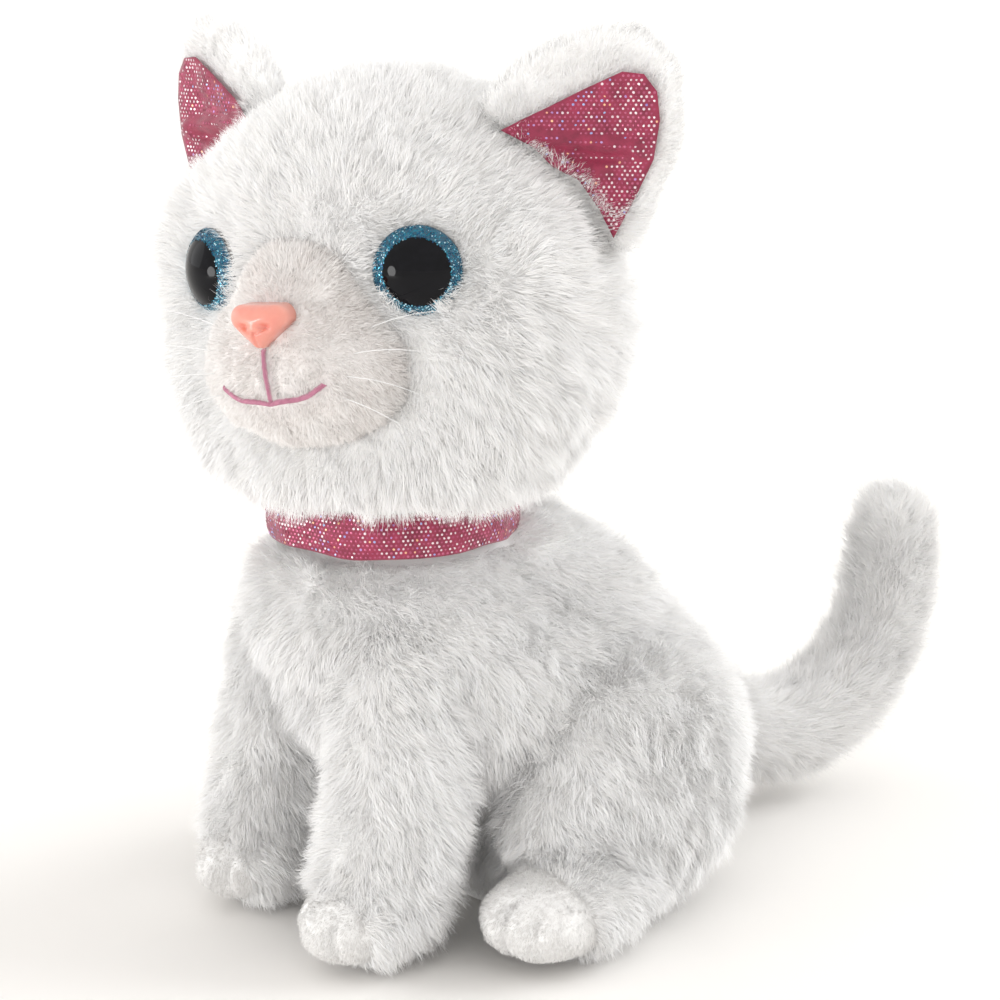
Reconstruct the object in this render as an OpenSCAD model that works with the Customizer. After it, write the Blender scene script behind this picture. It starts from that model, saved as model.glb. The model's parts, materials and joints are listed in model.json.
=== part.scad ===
// Interactive plush kitten, sitting. Millimetres, +Z up, the kitten looks along -Y.
// A sewn and stuffed body holds a plastic drive case. One gear motor turns the head on a
// hollow neck shaft and another wags the tail. Buttons sit under the plush of back and crown.

/* [Overall placement] */
// Sideways position of the neck axis in the part's frame
neck_x = 3.2; // [-5:0.1:5]
// Front to back position of the neck axis in the part's frame
neck_y = -64.4; // [-90:0.1:-50]
// Angle of the head at rest, turned toward the kitten's left
head_yaw = 23; // [-30:1:35]

/* [Plush body] */
// Half width of the chest at the shoulders
chest_half_w = 40; // [36:1:44]
// Half width of the hips
hip_half_w = 53; // [48:1:56]
// Height of the flat top of the neck
neck_top_z = 103; // [101:1:103]
// Radius of the neck inside the collar
neck_r = 28.5; // [26:0.5:28.5]
// Gap between two sewn pieces that lie against each other
seam_gap = 0.25; // [0.2:0.05:0.5]
// Height of the body's underside above the floor
belly_z = 3; // [2:0.5:4]

/* [Legs] */
// Sideways position of each front leg
front_leg_x = 25; // [23:1:27]
// Half width of a front paw
front_paw_half_w = 16; // [14:1:17]
// Sideways position of the toes of each hind foot
hind_toe_x = 50; // [46:1:52]
// Half width of a hind foot
hind_foot_half_w = 15; // [13:1:16]

/* [Collar] */
// Height of the collar's lower edge
collar_z = 100.5; // [100:0.5:101]
// Width of the collar ribbon
collar_h = 10.5; // [9:0.5:10.5]
// Inner radius of the collar
collar_r = 29.2; // [28.9:0.1:29.6]
// Thickness of the folded ribbon
collar_t = 1.8; // [1:0.1:2.5]

/* [Head] */
// Half width of the head
head_half_w = 60; // [56:1:62]
// Half depth of the head
head_half_d = 49; // [46:1:52]
// Half height of the head
head_half_h = 59; // [57:1:60]
// Height of the head's centre
head_z = 159; // [158:1:161]
// Height of the flat underside of the head around the neck
head_base_z = 111.8; // [111.6:0.1:113]

/* [Face] */
// Diameter of each safety eye
eye_d = 21; // [18:0.5:23]
// Sideways position of each eye
eye_x = 28.5; // [27:0.5:31]
// Height of the eyes
eye_z = 169; // [167:0.5:172]
// How far each eye sits in front of the neck axis
eye_front = 34; // [33:0.5:37]
// How far each eye is turned outward
eye_splay = 26; // [20:1:32]
// Width of the nose
nose_w = 14; // [12:0.5:16]
// Height of the middle of the nose
nose_z = 160; // [158:0.5:162]
// How far the eyes, nose and mouth are sewn out of level, lower on the right
face_tilt = 4; // [0:0.5:5]
// Thickness of the embroidered mouth line
stitch_d = 1.2; // [0.8:0.1:1.6]

/* [Ears] */
// Thickness of each ear
ear_t = 8; // [6:0.5:9]
// How far each ear faces outward
ear_splay = 25; // [15:1:30]

/* [Tail] */
// Half thickness of the tail at its root
tail_root_r = 14.6; // [12:0.2:14.8]
// Half thickness of the tail at its tip
tail_tip_r = 12.5; // [10:0.5:13.5]

/* [Drive] */
// Gear module, the pitch diameter for each tooth
gear_m = 0.75; // [0.75:0.05:0.75]
// Teeth on each motor pinion
pinion_teeth = 12; // [12:1:12]
// Teeth on the gear that turns the neck
neck_teeth = 48; // [48:1:48]
// Teeth on the gear that wags the tail
tail_teeth = 24; // [24:1:24]
// Height of the neck gear's lower face
neck_gear_z = 54.5; // [54:0.1:55]
// Height of the tail gear's lower face
tail_gear_z = 30; // [29.5:0.1:30.5]
// Radius of the hollow neck shaft
shaft_r = 4; // [3.5:0.1:4]

/* [Hidden] */
$fn = 48;
// facets round each stuffed shape
pad_fn = 26;
// radial play of a turning shaft in its bearing
play = 0.06;
// clear space between the case and the stuffing
pocket_gap = 0.6;
// pressure angle of the gears
pressure = 25;
// how much each tooth is thinned, for play between the teeth
tooth_slack = 0.3;
// tooth height above the pitch circle, in modules
addendum = 0.8;
// tooth depth below the pitch circle, in modules
dedendum = 1.15;
// distance from the neck axis to its motor
neck_centres = gear_m * (neck_teeth + pinion_teeth) / 2;
// distance from the tail axis to its motor
tail_centres = gear_m * (tail_teeth + pinion_teeth) / 2;
// the tail's upright axis
tail_y = 78;
// the tail motor stands off to the kitten's right of the tail axis
tail_motor_x = -13;
tail_motor_y = tail_y - sqrt(tail_centres ^ 2 - tail_motor_x ^ 2);
tail_motor_angle = atan2(tail_motor_y - tail_y, tail_motor_x);
// the case: half width, front, back, floor, seam, top, wall
case_w = 25;
case_y0 = 14;
case_y1 = 90;
case_z0 = 3;
seam_z = 22;
case_z1 = 50;
wall = 2;
corner_r = 10;
// the gear tower over the front of the case
tower_r = 21;
tower_y1 = 36;
tower_floor_z = 52;
tower_z1 = 63;
lid_t = 2;
// the battery bay: half width, length and roof
bay_w = 18;
bay_y0 = 16;
bay_y1 = 66;
bay_roof_z = 17;
cell_r = 5.25;
cell_len = 44.5;
cell_pitch = 11.3;
door_t = 1.6;
door_screw_y = 70.5;
// AAA cells lie side by side with their axes along Y
cell_z = 10.6;
cell_y0 = 17.6;
// how far the hollow for the tail reaches to each side of straight back, in degrees
tail_room_swing = 27;
lever_room_swing = 40;
// the height that the face tilts about
face_z = 155;
// how far behind an eye's rim its washer grips the stem
washer_back = 6;
// the press buttons
button_r = 5.8;
button_tube_r = 8;
back_button_y = 73;
// the skull shell inside the head
skull_r = 32;
skull_z = 126;
skull_cyl_z = 158;
skull_t = 2;

// ---- shared shapes ----

// One stuffed pad: [x, y, z, half width, half depth, half height], grown by g
module pad(p, g = 0) {
  translate([p[0], p[1], p[2]])
    scale([p[3] + g, p[4] + g, p[5] + g])
      sphere(r = 1, $fn = pad_fn);
}

// A stuffed limb through a list of pads
module limb(pads, g = 0) {
  for (i = [0 : len(pads) - 2])
    hull() {
      pad(pads[i], g);
      pad(pads[i + 1], g);
    }
}

// A round wire or thread through a list of points
module strand(points, r, sides = 8) {
  for (i = [0 : len(points) - 2])
    hull() {
      translate(points[i]) sphere(r = r, $fn = sides);
      translate(points[i + 1]) sphere(r = r, $fn = sides);
    }
}

// Rectangle with round corners from y0 to y1, centred on X = 0
module round_rect(half_w, y0, y1, r) {
  translate([-half_w, y0 + r]) square([2 * half_w, y1 - y0 - 2 * r]);
  translate([-half_w + r, y0]) square([2 * (half_w - r), y1 - y0]);
  for (x = [-half_w + r, half_w - r], y = [y0 + r, y1 - r])
    translate([x, y]) circle(r = r);
}

// Outline of the gear tower, shrunk by s
module tower_outline(s = 0) {
  circle(r = tower_r - s);
  translate([-tower_r + s, 0]) square([2 * (tower_r - s), tower_y1 - s]);
}

module mirror_pair() {
  children();
  mirror([1, 0, 0]) children();
}

// ---- gears ----

function involute(rb, a) =
  [rb * (cos(a) + a * PI / 180 * sin(a)), rb * (sin(a) - a * PI / 180 * cos(a))];
function involute_angle(rb, r) = sqrt(max(0, (r / rb) ^ 2 - 1)) * 180 / PI;
function polar(p) = atan2(p[1], p[0]);
function turned(p, a) = [p[0] * cos(a) - p[1] * sin(a), p[0] * sin(a) + p[1] * cos(a)];

// One tooth flank as points from the root to the tip, for the tooth centred on +X
function flank(teeth, side) =
  let (
    rp = gear_m * teeth / 2,
    rb = rp * cos(pressure),
    ra = rp + gear_m * addendum,
    rf = rp - gear_m * dedendum,
    half = (90 / teeth) - tooth_slack / 2 / rp * 180 / PI,
    at_pitch = polar(involute(rb, involute_angle(rb, rp))),
    a0 = involute_angle(rb, max(rb, rf)),
    a1 = involute_angle(rb, ra),
    curve = [for (k = [0 : 4]) involute(rb, a0 + (a1 - a0) * k / 4)],
    open = [for (p = curve) turned(p, -half - at_pitch)],
    root = [rf * cos(polar(open[0])), rf * sin(polar(open[0]))],
    all = rf < rb ? concat([root], open) : open
  )
  [for (p = all) [p[0], side * p[1]]];

function reversed(list) = [for (i = [len(list) - 1 : -1 : 0]) list[i]];

function gear_points(teeth) = [
  for (t = [0 : teeth - 1])
    for (p = concat(flank(teeth, 1), reversed(flank(teeth, -1))))
      turned(p, t * 360 / teeth)
];

// Spur gear standing on its lower face
module gear(teeth, h, bore_r) {
  linear_extrude(h)
    difference() {
      polygon(gear_points(teeth));
      circle(r = bore_r);
    }
}

// ---- outlines of the stuffed pieces ----

// Chest, belly and rump, from the neck down and back
torso_pads = [
  [0, 0, 94, 31, 30, 16],
  [0, 10, 88, 33, 33, 21],
  [0, -3, 79, chest_half_w, 35, 26],
  [0, 22, 76, 36, 34, 28],
  [0, 8, 66, 43, 40, 34],
  [0, 28, 55, 47, 44, 42],
  [0, 48, 44, hip_half_w - 1, 50, 41],
  [0, 55, 37, hip_half_w, 51, 37],
  [0, 50, 13, 47, 48, 15]
];

front_leg_pads = [
  [front_leg_x - 2, -12, 66, 16, 22, 24],
  [front_leg_x, -16, 40, 17, 21, 26],
  [front_leg_x + 1, -22, 15, front_paw_half_w, 21, 15.5],
  [front_leg_x + 1, -27, 12, front_paw_half_w, 19, 13]
];

haunch_pads = [
  [38, 46, 42, 20, 36, 30],
  [40, 44, 26, 22, 44, 27]
];

hind_foot_pads = [
  [42, 40, 14, 14, 30, 14],
  [hind_toe_x - 3, 22, 14, hind_foot_half_w, 24, 14.5],
  [hind_toe_x, 10, 13, hind_foot_half_w, 18, 13.5]
];

// The head, a stack of pads from the crown to the jaw that is widest at the cheeks
head_pads = [
  for (k = [0 : 7])
    let (t = k / 7, swell = sin(180 * t))
      [
        0, 3, head_z + 5 - 12 * t,
        head_half_w - 3 + 3 * swell,
        head_half_d - 2 + 2 * swell,
        head_half_h - 5 + 5 * swell - 5 * t
      ]
];

// The front of the muzzle is a plain ellipsoid, which the mouth line follows
muzzle = [0, -36, 147, 27, 20, 19.5];
muzzle_pads = [
  muzzle,
  [0, -36, 164, 16, 14.5, 14]
];
function muzzle_y(x, z) =
  muzzle[1] - muzzle[4]
  * sqrt(1 - (x / muzzle[3]) ^ 2 - ((z - muzzle[2]) / muzzle[5]) ^ 2);

// A point of the ear's middle plane above head-local x and z, moved n outward
function ear_point(x, z, n = 0) = [
  x + n * sin(ear_splay),
  -6 + (x - 34) * tan(ear_splay) - n * cos(ear_splay),
  z
];
ear_corners = [[36, 206], [49, 216], [62, 222], [69, 215], [69, 198], [61, 177], [48, 186]];
lining_corners = [[40, 205], [52, 212], [62, 216.5], [66, 211], [66, 198], [60, 182]];

tail_centres_line = [
  [0, 110, 30, tail_root_r],
  [0, 122, 23, 14.8],
  [0, 136, 20, 15],
  [0, 151, 22.5, 15],
  [0, 165, 30, 14.8],
  [0, 175, 42, 14.5],
  [0, 180, 55, 14.2],
  [0, 181.5, 67, 13.8],
  [0, 181, 75.5, tail_tip_r]
];
tail_wire_points = [
  [0, 105, 37], [0, 116, 28], [0, 134, 20.5], [0, 151, 22.5],
  [0, 165, 30], [0, 175, 42], [0, 180, 55], [0, 181.5, 68]
];

module torso_outline(g = 0) {
  intersection() {
    limb(torso_pads, g);
    translate([-100, -100, belly_z]) cube([200, 300, neck_top_z - belly_z]);
  }
}

module above_floor() {
  intersection() {
    children();
    translate([-150, -150, 0]) cube([300, 400, 300]);
  }
}

// ---- sewn body ----

// Room in the stuffing for the drive case, the buttons, the shaft and the tail's swing
module torso_pocket() {
  g = pocket_gap;
  translate([0, 0, belly_z - 1])
    linear_extrude(case_z1 - belly_z + 1 + g)
      round_rect(case_w + g, case_y0 - g, case_y1 + g, corner_r);
  translate([0, 0, case_z1 - g])
    linear_extrude(tower_z1 + lid_t - case_z1 + 2 * g)
      tower_outline(-g);
  translate([0, 0, tower_z1]) cylinder(r = 7 + g, h = 10.5);
  translate([0, 0, tower_z1]) cylinder(r = shaft_r + 1.5, h = 60);
  translate([0, back_button_y, case_z1 - 1]) cylinder(r = button_tube_r + g, h = 16);
  tail_room();
}

// The hollow of the rump that the tail's root and its lever swing in
module tail_room() {
  r = tail_root_r + 1.2;
  translate([0, tail_y, 0]) {
    rotate([0, 0, 90 - tail_room_swing])
      rotate_extrude(angle = 2 * tail_room_swing)
        hull() {
          translate([32, 30]) circle(r = r);
          translate([62, 22]) circle(r = r);
        }
    for (a = [-tail_room_swing, tail_room_swing])
      rotate([0, 0, a])
        hull() {
          translate([0, 32, 30]) sphere(r = r, $fn = pad_fn);
          translate([0, 62, 22]) sphere(r = r, $fn = pad_fn);
        }
    rotate([0, 0, 90 - lever_room_swing])
      rotate_extrude(angle = 2 * lever_room_swing)
        translate([6, 33.8]) square([28, 6.5]);
  }
}

module torso_plush() {
  color("whitesmoke")
    union() {
      difference() {
        torso_outline();
        torso_pocket();
        collar_room();
      }
    }
}

// Space for the collar around the neck
module collar_room() {
  difference() {
    translate([0, 0, collar_z - 0.4]) cylinder(r = collar_r + collar_t + 0.4, h = 30);
    translate([0, 0, collar_z - 1]) cylinder(r = neck_r, h = 32);
  }
}

module front_leg() {
  above_floor()
    difference() {
      limb(front_leg_pads);
      limb(torso_pads, seam_gap);
      translate([-50, -100, -1]) cube([50 + 3, 200, 120]);
    }
}

module front_leg_left() {
  color("whitesmoke") union() { front_leg(); }
}

module front_leg_right() {
  color("whitesmoke") union() { mirror([1, 0, 0]) front_leg(); }
}

module hind_leg() {
  above_floor()
    difference() {
      union() {
        limb(haunch_pads);
        limb(hind_foot_pads);
      }
      limb(torso_pads, seam_gap);
      limb(front_leg_pads, seam_gap);
      translate([-60, -100, -1]) cube([60 + 30, 300, 120]);
    }
}

module hind_leg_left() {
  color("whitesmoke") union() { hind_leg(); }
}

module hind_leg_right() {
  color("whitesmoke") union() { mirror([1, 0, 0]) hind_leg(); }
}

module collar() {
  color("palevioletred")
    rotate_extrude()
      translate([collar_r, collar_z]) square([collar_t, collar_h]);
}

// ---- drive case ----

// Places of the four case screws
case_screw_spots = [[-20.9, 19], [20.9, 19], [-19, 84], [19, 84]];

module case_base() {
  color("gainsboro")
    difference() {
      union() {
        difference() {
          translate([0, 0, case_z0])
            linear_extrude(seam_z - case_z0)
              round_rect(case_w, case_y0, case_y1, corner_r);
          translate([0, 0, case_z0 + wall])
            linear_extrude(seam_z)
              round_rect(case_w - wall, case_y0 + wall, case_y1 - wall, corner_r - wall);
        }
        translate([-bay_w - 1.5, case_y0 + 1, case_z0])
          cube([2 * bay_w + 3, bay_y1 + 1.5 - case_y0 - 1, bay_roof_z + 1.5 - case_z0]);
        for (p = case_screw_spots)
          translate([p[0], p[1], case_z0]) cylinder(r = 2.6, h = seam_z - case_z0);
        translate([0, door_screw_y, case_z0]) cylinder(r = 3.4, h = 8);
        translate([-6, bay_y1, case_z0]) cube([12, 8.4, 3.8]);
        translate([0, tail_y, case_z0]) cylinder(r = 3.5, h = 24);
        for (x = [-15, 15], y = [24, 62])
          translate([x, y, bay_roof_z]) cylinder(r = 2, h = 3);
      }
      translate([-bay_w, bay_y0, case_z0 - 1])
        cube([2 * bay_w, bay_y1 - bay_y0, bay_roof_z - case_z0 + 1]);
      translate([-5.2, bay_y1 - 1, case_z0 - 1]) cube([10.4, 9, door_t + 1.2]);
      translate([0, door_screw_y, 0]) cylinder(r = 1.15, h = 10);
      translate([0, tail_y, 12]) cylinder(r = 1.5 + 0.02, h = 20);
      for (p = case_screw_spots) {
        translate([p[0], p[1], 0]) cylinder(r = 1.2, h = 40);
        translate([p[0], p[1], 0]) cylinder(r = 2.3, h = case_z0 + 1.8);
      }
      for (x = [-15, 15], y = [24, 62])
        translate([x, y, bay_roof_z + 0.6]) cylinder(r = 0.8, h = 5);
      translate([11, 74, 0]) cube([4, 9, 10]);
    }
}

module case_cover() {
  color("gainsboro")
    difference() {
      union() {
        difference() {
          translate([0, 0, seam_z])
            linear_extrude(case_z1 - seam_z)
              round_rect(case_w, case_y0, case_y1, corner_r);
          translate([0, 0, seam_z - 1])
            linear_extrude(case_z1 - wall - seam_z + 1)
              round_rect(case_w - wall, case_y0 + wall, case_y1 - wall, corner_r - wall);
        }
        translate([0, 0, case_z1])
          difference() {
            linear_extrude(tower_z1 - case_z1) tower_outline();
            translate([0, 0, tower_floor_z - case_z1])
              linear_extrude(tower_z1) tower_outline(wall);
          }
        for (x = [-17, 17])
          translate([x, 32, case_z1]) cylinder(r = 2.6, h = tower_z1 - case_z1);
        translate([0, back_button_y, case_z1 - 1]) cylinder(r = button_tube_r, h = 10);
        translate([0, tail_y, 40]) cylinder(r = 3.5, h = 9);
        for (p = case_screw_spots)
          translate([p[0], p[1], seam_z]) cylinder(r = 2.6, h = 9);
      }
      cylinder(r = shaft_r + play, h = 60);
      translate([0, neck_centres, 40]) cylinder(r = 3, h = 30);
      translate([0, back_button_y, case_z1]) cylinder(r = button_r + 0.35, h = 20);
      translate([0, tail_y, 20]) cylinder(r = 1.5 + 0.02, h = 27);
      for (x = [-17, 17])
        translate([x, 32, tower_floor_z]) cylinder(r = 0.9, h = 20);
      for (p = case_screw_spots)
        translate([p[0], p[1], seam_z - 1]) cylinder(r = 1.05, h = 9);
      translate([-10, case_y1 - 5, 33.8]) cube([20, 8, 7]);
      for (ring = [[0, 1], [4.2, 6], [8.4, 12]], k = [0 : ring[1] - 1])
        rotate_about([0, 50, 0], k * 360 / ring[1])
          translate([ring[0], 50, 40]) cylinder(r = 1, h = 20);
    }
}

module rotate_about(c, a) {
  translate(c) rotate([0, 0, a]) translate(-c) children();
}

module gear_cover() {
  color("gainsboro")
    difference() {
      union() {
        translate([0, 0, tower_z1]) linear_extrude(lid_t) tower_outline();
        translate([0, 0, tower_z1]) cylinder(r = 7, h = 7);
      }
      translate([0, 0, tower_z1 - 1]) cylinder(r = shaft_r + play, h = 20);
      for (x = [-17, 17])
        translate([x, 32, tower_z1 - 1]) cylinder(r = 1.1, h = 20);
    }
}

module case_screws() {
  color("silver")
    for (p = case_screw_spots)
      translate([p[0], p[1], case_z0 + 0.3]) {
        cylinder(r = 2.1, h = 1.5);
        cylinder(r = 1, h = 24);
      }
}

module gear_cover_screws() {
  color("silver")
    for (x = [-17, 17])
      translate([x, 32, tower_z1 + lid_t]) {
        cylinder(r = 2, h = 0.5);
        translate([0, 0, -11]) cylinder(r = 0.85, h = 11);
      }
}

// ---- power ----

module battery_cells() {
  color("goldenrod")
    for (k = [-1 : 1])
      translate([k * cell_pitch, cell_y0 + (k == 0 ? cell_len : 0), cell_z])
        rotate([k == 0 ? 90 : -90, 0, 0]) {
          cylinder(r = cell_r, h = cell_len - 1);
          cylinder(r = 1.9, h = cell_len);
        }
}

module contact_plates() {
  color("silver") {
    for (k = [-1 : 1])
      translate([k * cell_pitch - 4.5, bay_y0 + 0.1, 6]) cube([9, 0.6, 9]);
    for (k = [-1 : 1])
      translate([k * cell_pitch - 4.5, bay_y1 - 0.7, 6]) cube([9, 0.6, 9]);
  }
}

// Close-wound springs, each a stack of coils that narrows toward its cell
module contact_springs() {
  color("silver")
    for (k = [-1 : 1])
      translate([k * cell_pitch, bay_y1 - 1.25, cell_z])
        rotate([90, 0, 0])
          for (coil = [0 : 2])
            translate([0, 0, 0.75 * coil])
              rotate_extrude() translate([3.2 - 0.3 * coil, 0]) circle(r = 0.45, $fn = 24);
}

module battery_door() {
  color("gainsboro")
    difference() {
      union() {
        translate([-bay_w + 0.2, bay_y0 + 0.2, case_z0])
          cube([2 * bay_w - 0.4, bay_y1 - bay_y0 - 0.4, door_t]);
        translate([-5, bay_y1 - 2, case_z0]) cube([10, 9.6, door_t]);
      }
      translate([0, door_screw_y, 0]) cylinder(r = 1.2, h = 10);
      translate([0, door_screw_y, case_z0 - 1]) cylinder(r = 2.3, h = 1.9);
      for (y = [30 : 6 : 54])
        translate([-8, y, case_z0 - 1]) cube([16, 2, 1.5]);
    }
}

module door_screw() {
  color("silver")
    translate([0, door_screw_y, case_z0]) {
      cylinder(r = 2.1, h = 0.8);
      cylinder(r = 1.05, h = 6.5);
    }
}

module power_switch_body() {
  color("dimgray")
    translate([8, 72.5, case_z0 + wall])
      difference() {
        cube([8.2, 12, 5]);
        translate([3, 1.5, -1]) cube([4, 9, 4.2]);
      }
}

module power_slider() {
  color("black")
    translate([11.3, 75, case_z0 - 1.2]) {
      cube([3.4, 3.6, 5]);
    }
}

// ---- electronics ----

module circuit_board() {
  color("seagreen")
    difference() {
      translate([-18.5, 20, bay_roof_z + 3]) cube([37, 46, 1.6]);
      for (x = [-15, 15], y = [24, 62])
        translate([x, y, bay_roof_z]) cylinder(r = 1.1, h = 8);
    }
}

module board_components() {
  top = bay_roof_z + 4.6;
  color("dimgray") {
    translate([-5, 38, top]) cube([10, 10, 1.4]);
    translate([-14, 34, top]) cube([5, 4, 2]);
    translate([8, 32, top]) cube([6, 5, 2]);
    for (x = [-13, -6, 6])
      translate([x, 54, top]) cube([5, 6, 4]);
    for (y = [42, 49])
      translate([13, y, top]) cylinder(r = 2.5, h = 5);
  }
}

module board_screws() {
  color("silver")
    for (x = [-15, 15], y = [24, 62])
      translate([x, y, bay_roof_z + 4.6]) {
        cylinder(r = 1.6, h = 0.9);
        translate([0, 0, -3.6]) cylinder(r = 0.75, h = 4);
      }
}

module speaker_frame() {
  color("dimgray")
    translate([0, 50, 0])
      rotate_extrude()
        polygon([[9.3, 38.5], [10.3, 38.5], [15, 44.5], [15, 47.8], [14, 47.8], [14, 45.2]]);
}

module speaker_magnet() {
  color("silver")
    translate([0, 50, 31]) cylinder(r = 9, h = 7.4);
}

module speaker_cone() {
  color("black")
    translate([0, 50, 0])
      rotate_extrude()
        polygon([[0, 42.4], [5, 42], [13.7, 46.4], [13.7, 47], [5, 42.7], [0, 43.2]]);
}

module gear_motor(h) {
  intersection() {
    translate([-6, -5, 0]) cube([12, 10, h]);
    cylinder(r = 6.8, h = h);
  }
}

module head_motor() {
  color("silver")
    translate([0, neck_centres, 26]) {
      gear_motor(case_z1 - wall - 26.05);
      cylinder(r = 1.5, h = neck_gear_z + 5 - 26);
    }
}

module tail_motor() {
  color("silver")
    translate([tail_motor_x, tail_motor_y, case_z0 + wall + 0.05]) {
      gear_motor(23.5);
      cylinder(r = 1.5, h = tail_gear_z + 4 - case_z0 - wall);
    }
}

module back_switch() {
  color("black")
    translate([0, back_button_y, case_z1 + 0.05]) press_switch();
}

// A small push switch: its body and the stub that is pressed
module press_switch() {
  translate([-3, -3, 0]) cube([6, 6, 3.2]);
  cylinder(r = 1.6, h = 4);
}

// The plunger over a push switch, measured from the floor of its tube
module plunger() {
  translate([0, 0, 7]) cylinder(r = button_r, h = 3.6);
  translate([0, 0, 5.4]) cylinder(r = 2, h = 2);
}

module back_button() {
  color("whitesmoke")
    translate([0, back_button_y, case_z1]) plunger();
}

module wire_loom() {
  color("firebrick")
    union() {
      strand([[3, 31, 22.4], [3, 30, 25], [3, 28.2, 29], [3, 28.2, 33]], 0.5);
      strand([[17, 50, 22.4], [17.5, 50, 32], [16.5, 50, 40], [14.5, 50, 43]], 0.5);
      strand([[-10, 63.5, 22.4], [-11, 65, 26], [-12, 68, 28], [-12, 68.7, 28]], 0.5);
      strand([[8, 63.5, 22.4], [9, 67.6, 22.8], [11, 72, 17], [12, 76, 10.6]], 0.5);
    }
}

// ---- drives ----

module neck_shaft() {
  color("silver")
    difference() {
      union() {
        translate([0, 0, 50.2]) cylinder(r = shaft_r, h = 77.5);
        translate([0, 0, 70.2]) cylinder(r = 6, h = 1.8);
      }
      translate([0, 0, 40]) cylinder(r = 2, h = 100);
    }
}

module neck_gear() {
  color("ivory")
    translate([0, 0, neck_gear_z]) {
      rotate([0, 0, 90 - 180 / neck_teeth]) gear(neck_teeth, 4, shaft_r + 0.02);
      difference() {
        cylinder(r = 6.5, h = 6);
        translate([0, 0, -1]) cylinder(r = shaft_r + 0.02, h = 10);
      }
    }
}

module head_pinion() {
  color("ivory")
    translate([0, neck_centres, neck_gear_z - 0.5])
      rotate([0, 0, -90]) gear(pinion_teeth, 5, 1.5 + play);
}

module tail_axle() {
  color("silver")
    translate([0, tail_y, 13]) cylinder(r = 1.5, h = 33.5);
}

module tail_gear() {
  color("ivory")
    translate([0, tail_y, tail_gear_z])
      rotate([0, 0, tail_motor_angle + 180 / tail_teeth])
        gear(tail_teeth, 3.5, 3.52);
}

module tail_pinion() {
  color("ivory")
    translate([tail_motor_x, tail_motor_y, tail_gear_z - 0.5])
      rotate([0, 0, tail_motor_angle + 180]) gear(pinion_teeth, 4.5, 1.5 + play);
}

// Lever from the tail axle out through the slot of the case
module tail_arm() {
  color("ivory")
    difference() {
      union() {
        translate([0, tail_y, 28]) cylinder(r = 3.5, h = 11.5);
        translate([0, tail_y, 34.6]) cylinder(r = 5.5, h = 4.9);
        translate([-2.6, tail_y, 34.6]) cube([5.2, 26, 4.9]);
      }
      translate([0, tail_y, 20]) cylinder(r = 1.5 + play, h = 30);
      translate([-1.55, 102.4, 30]) cube([3.1, 5, 20]);
    }
}

module tail_wire() {
  color("silver")
    union() { strand(tail_wire_points, 1.5); }
}

module tail_plush() {
  color("whitesmoke")
    union() {
      difference() {
        for (i = [0 : len(tail_centres_line) - 2])
          hull()
            for (p = [tail_centres_line[i], tail_centres_line[i + 1]])
              translate([p[0], p[1], p[2]]) sphere(r = p[3], $fn = pad_fn);
        strand(tail_wire_points, 1.8);
        translate([-3, 90, 34.2]) cube([6, 16.5, 5.7]);
      }
    }
}

// ---- head ----

module head_outline(g = 0) {
  limb(head_pads, g);
}

// The tilt of the face about its middle
module in_face() {
  translate([0, 0, face_z]) rotate([0, -face_tilt, 0]) translate([0, 0, -face_z]) children();
}

// Puts children on the left eye's axis, looking out along +Z
module at_eye() {
  translate([eye_x, -eye_front, eye_z]) rotate([90, 0, eye_splay]) children();
}

module eye() {
  rotate_extrude()
    intersection() {
      translate([0, -7.5]) circle(r = 13, $fn = 96);
      square([eye_d / 2, 20]);
    }
  translate([0, 0, -washer_back - 1.4]) cylinder(r = 2, h = washer_back + 1.9);
}

module eye_left() {
  color("darkslategray") in_face() at_eye() eye();
}

module eye_right() {
  color("darkslategray") in_face() mirror([1, 0, 0]) at_eye() eye();
}

module eye_washers() {
  color("whitesmoke")
    in_face()
      mirror_pair()
        at_eye()
          translate([0, 0, -washer_back])
            difference() {
              cylinder(r = 7, h = 1.4);
              translate([0, 0, -1]) cylinder(r = 2.05, h = 4);
            }
}

// What each eye takes out of the plush
module eye_room() {
  at_eye() {
    translate([0, 0, -0.3]) cylinder(r = eye_d / 2 + 0.3, h = 20);
    translate([0, 0, -washer_back - 2]) cylinder(r = 2.3, h = washer_back + 2);
    translate([0, 0, -washer_back - 0.4]) cylinder(r = 7.4, h = 2.2);
  }
}

module nose_room() {
  translate([0, -56, nose_z]) rotate([-90, 0, 0]) cylinder(r = 2, h = 15);
  translate([0, -47.2, nose_z]) rotate([-90, 0, 0]) cylinder(r = 5.4, h = 2);
  hull() nose_lobes(0.3);
}

module nose_lobes(g = 0) {
  for (x = [-1, 1])
    translate([x * (nose_w / 2 - 3), -55.4, nose_z + 2.2]) sphere(r = 3 + g, $fn = 24);
  translate([0, -56, nose_z - 3.2]) sphere(r = 2 + g, $fn = 24);
}

module nose() {
  color("darksalmon")
    in_face() {
      hull() nose_lobes();
      translate([0, -55, nose_z]) rotate([-90, 0, 0]) cylinder(r = 1.7, h = 13);
    }
}

module nose_washer() {
  color("whitesmoke")
    in_face()
      translate([0, -46.9, nose_z])
        rotate([-90, 0, 0])
          difference() {
            cylinder(r = 5, h = 1.4);
            translate([0, 0, -1]) cylinder(r = 1.75, h = 4);
          }
}

module muzzle_plush() {
  color("white")
    union() {
      difference() {
        in_face() limb(muzzle_pads);
        head_outline(seam_gap);
        in_face() nose_room();
        in_face() eye_room();
        in_face() mirror([1, 0, 0]) eye_room();
      }
    }
}

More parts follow.
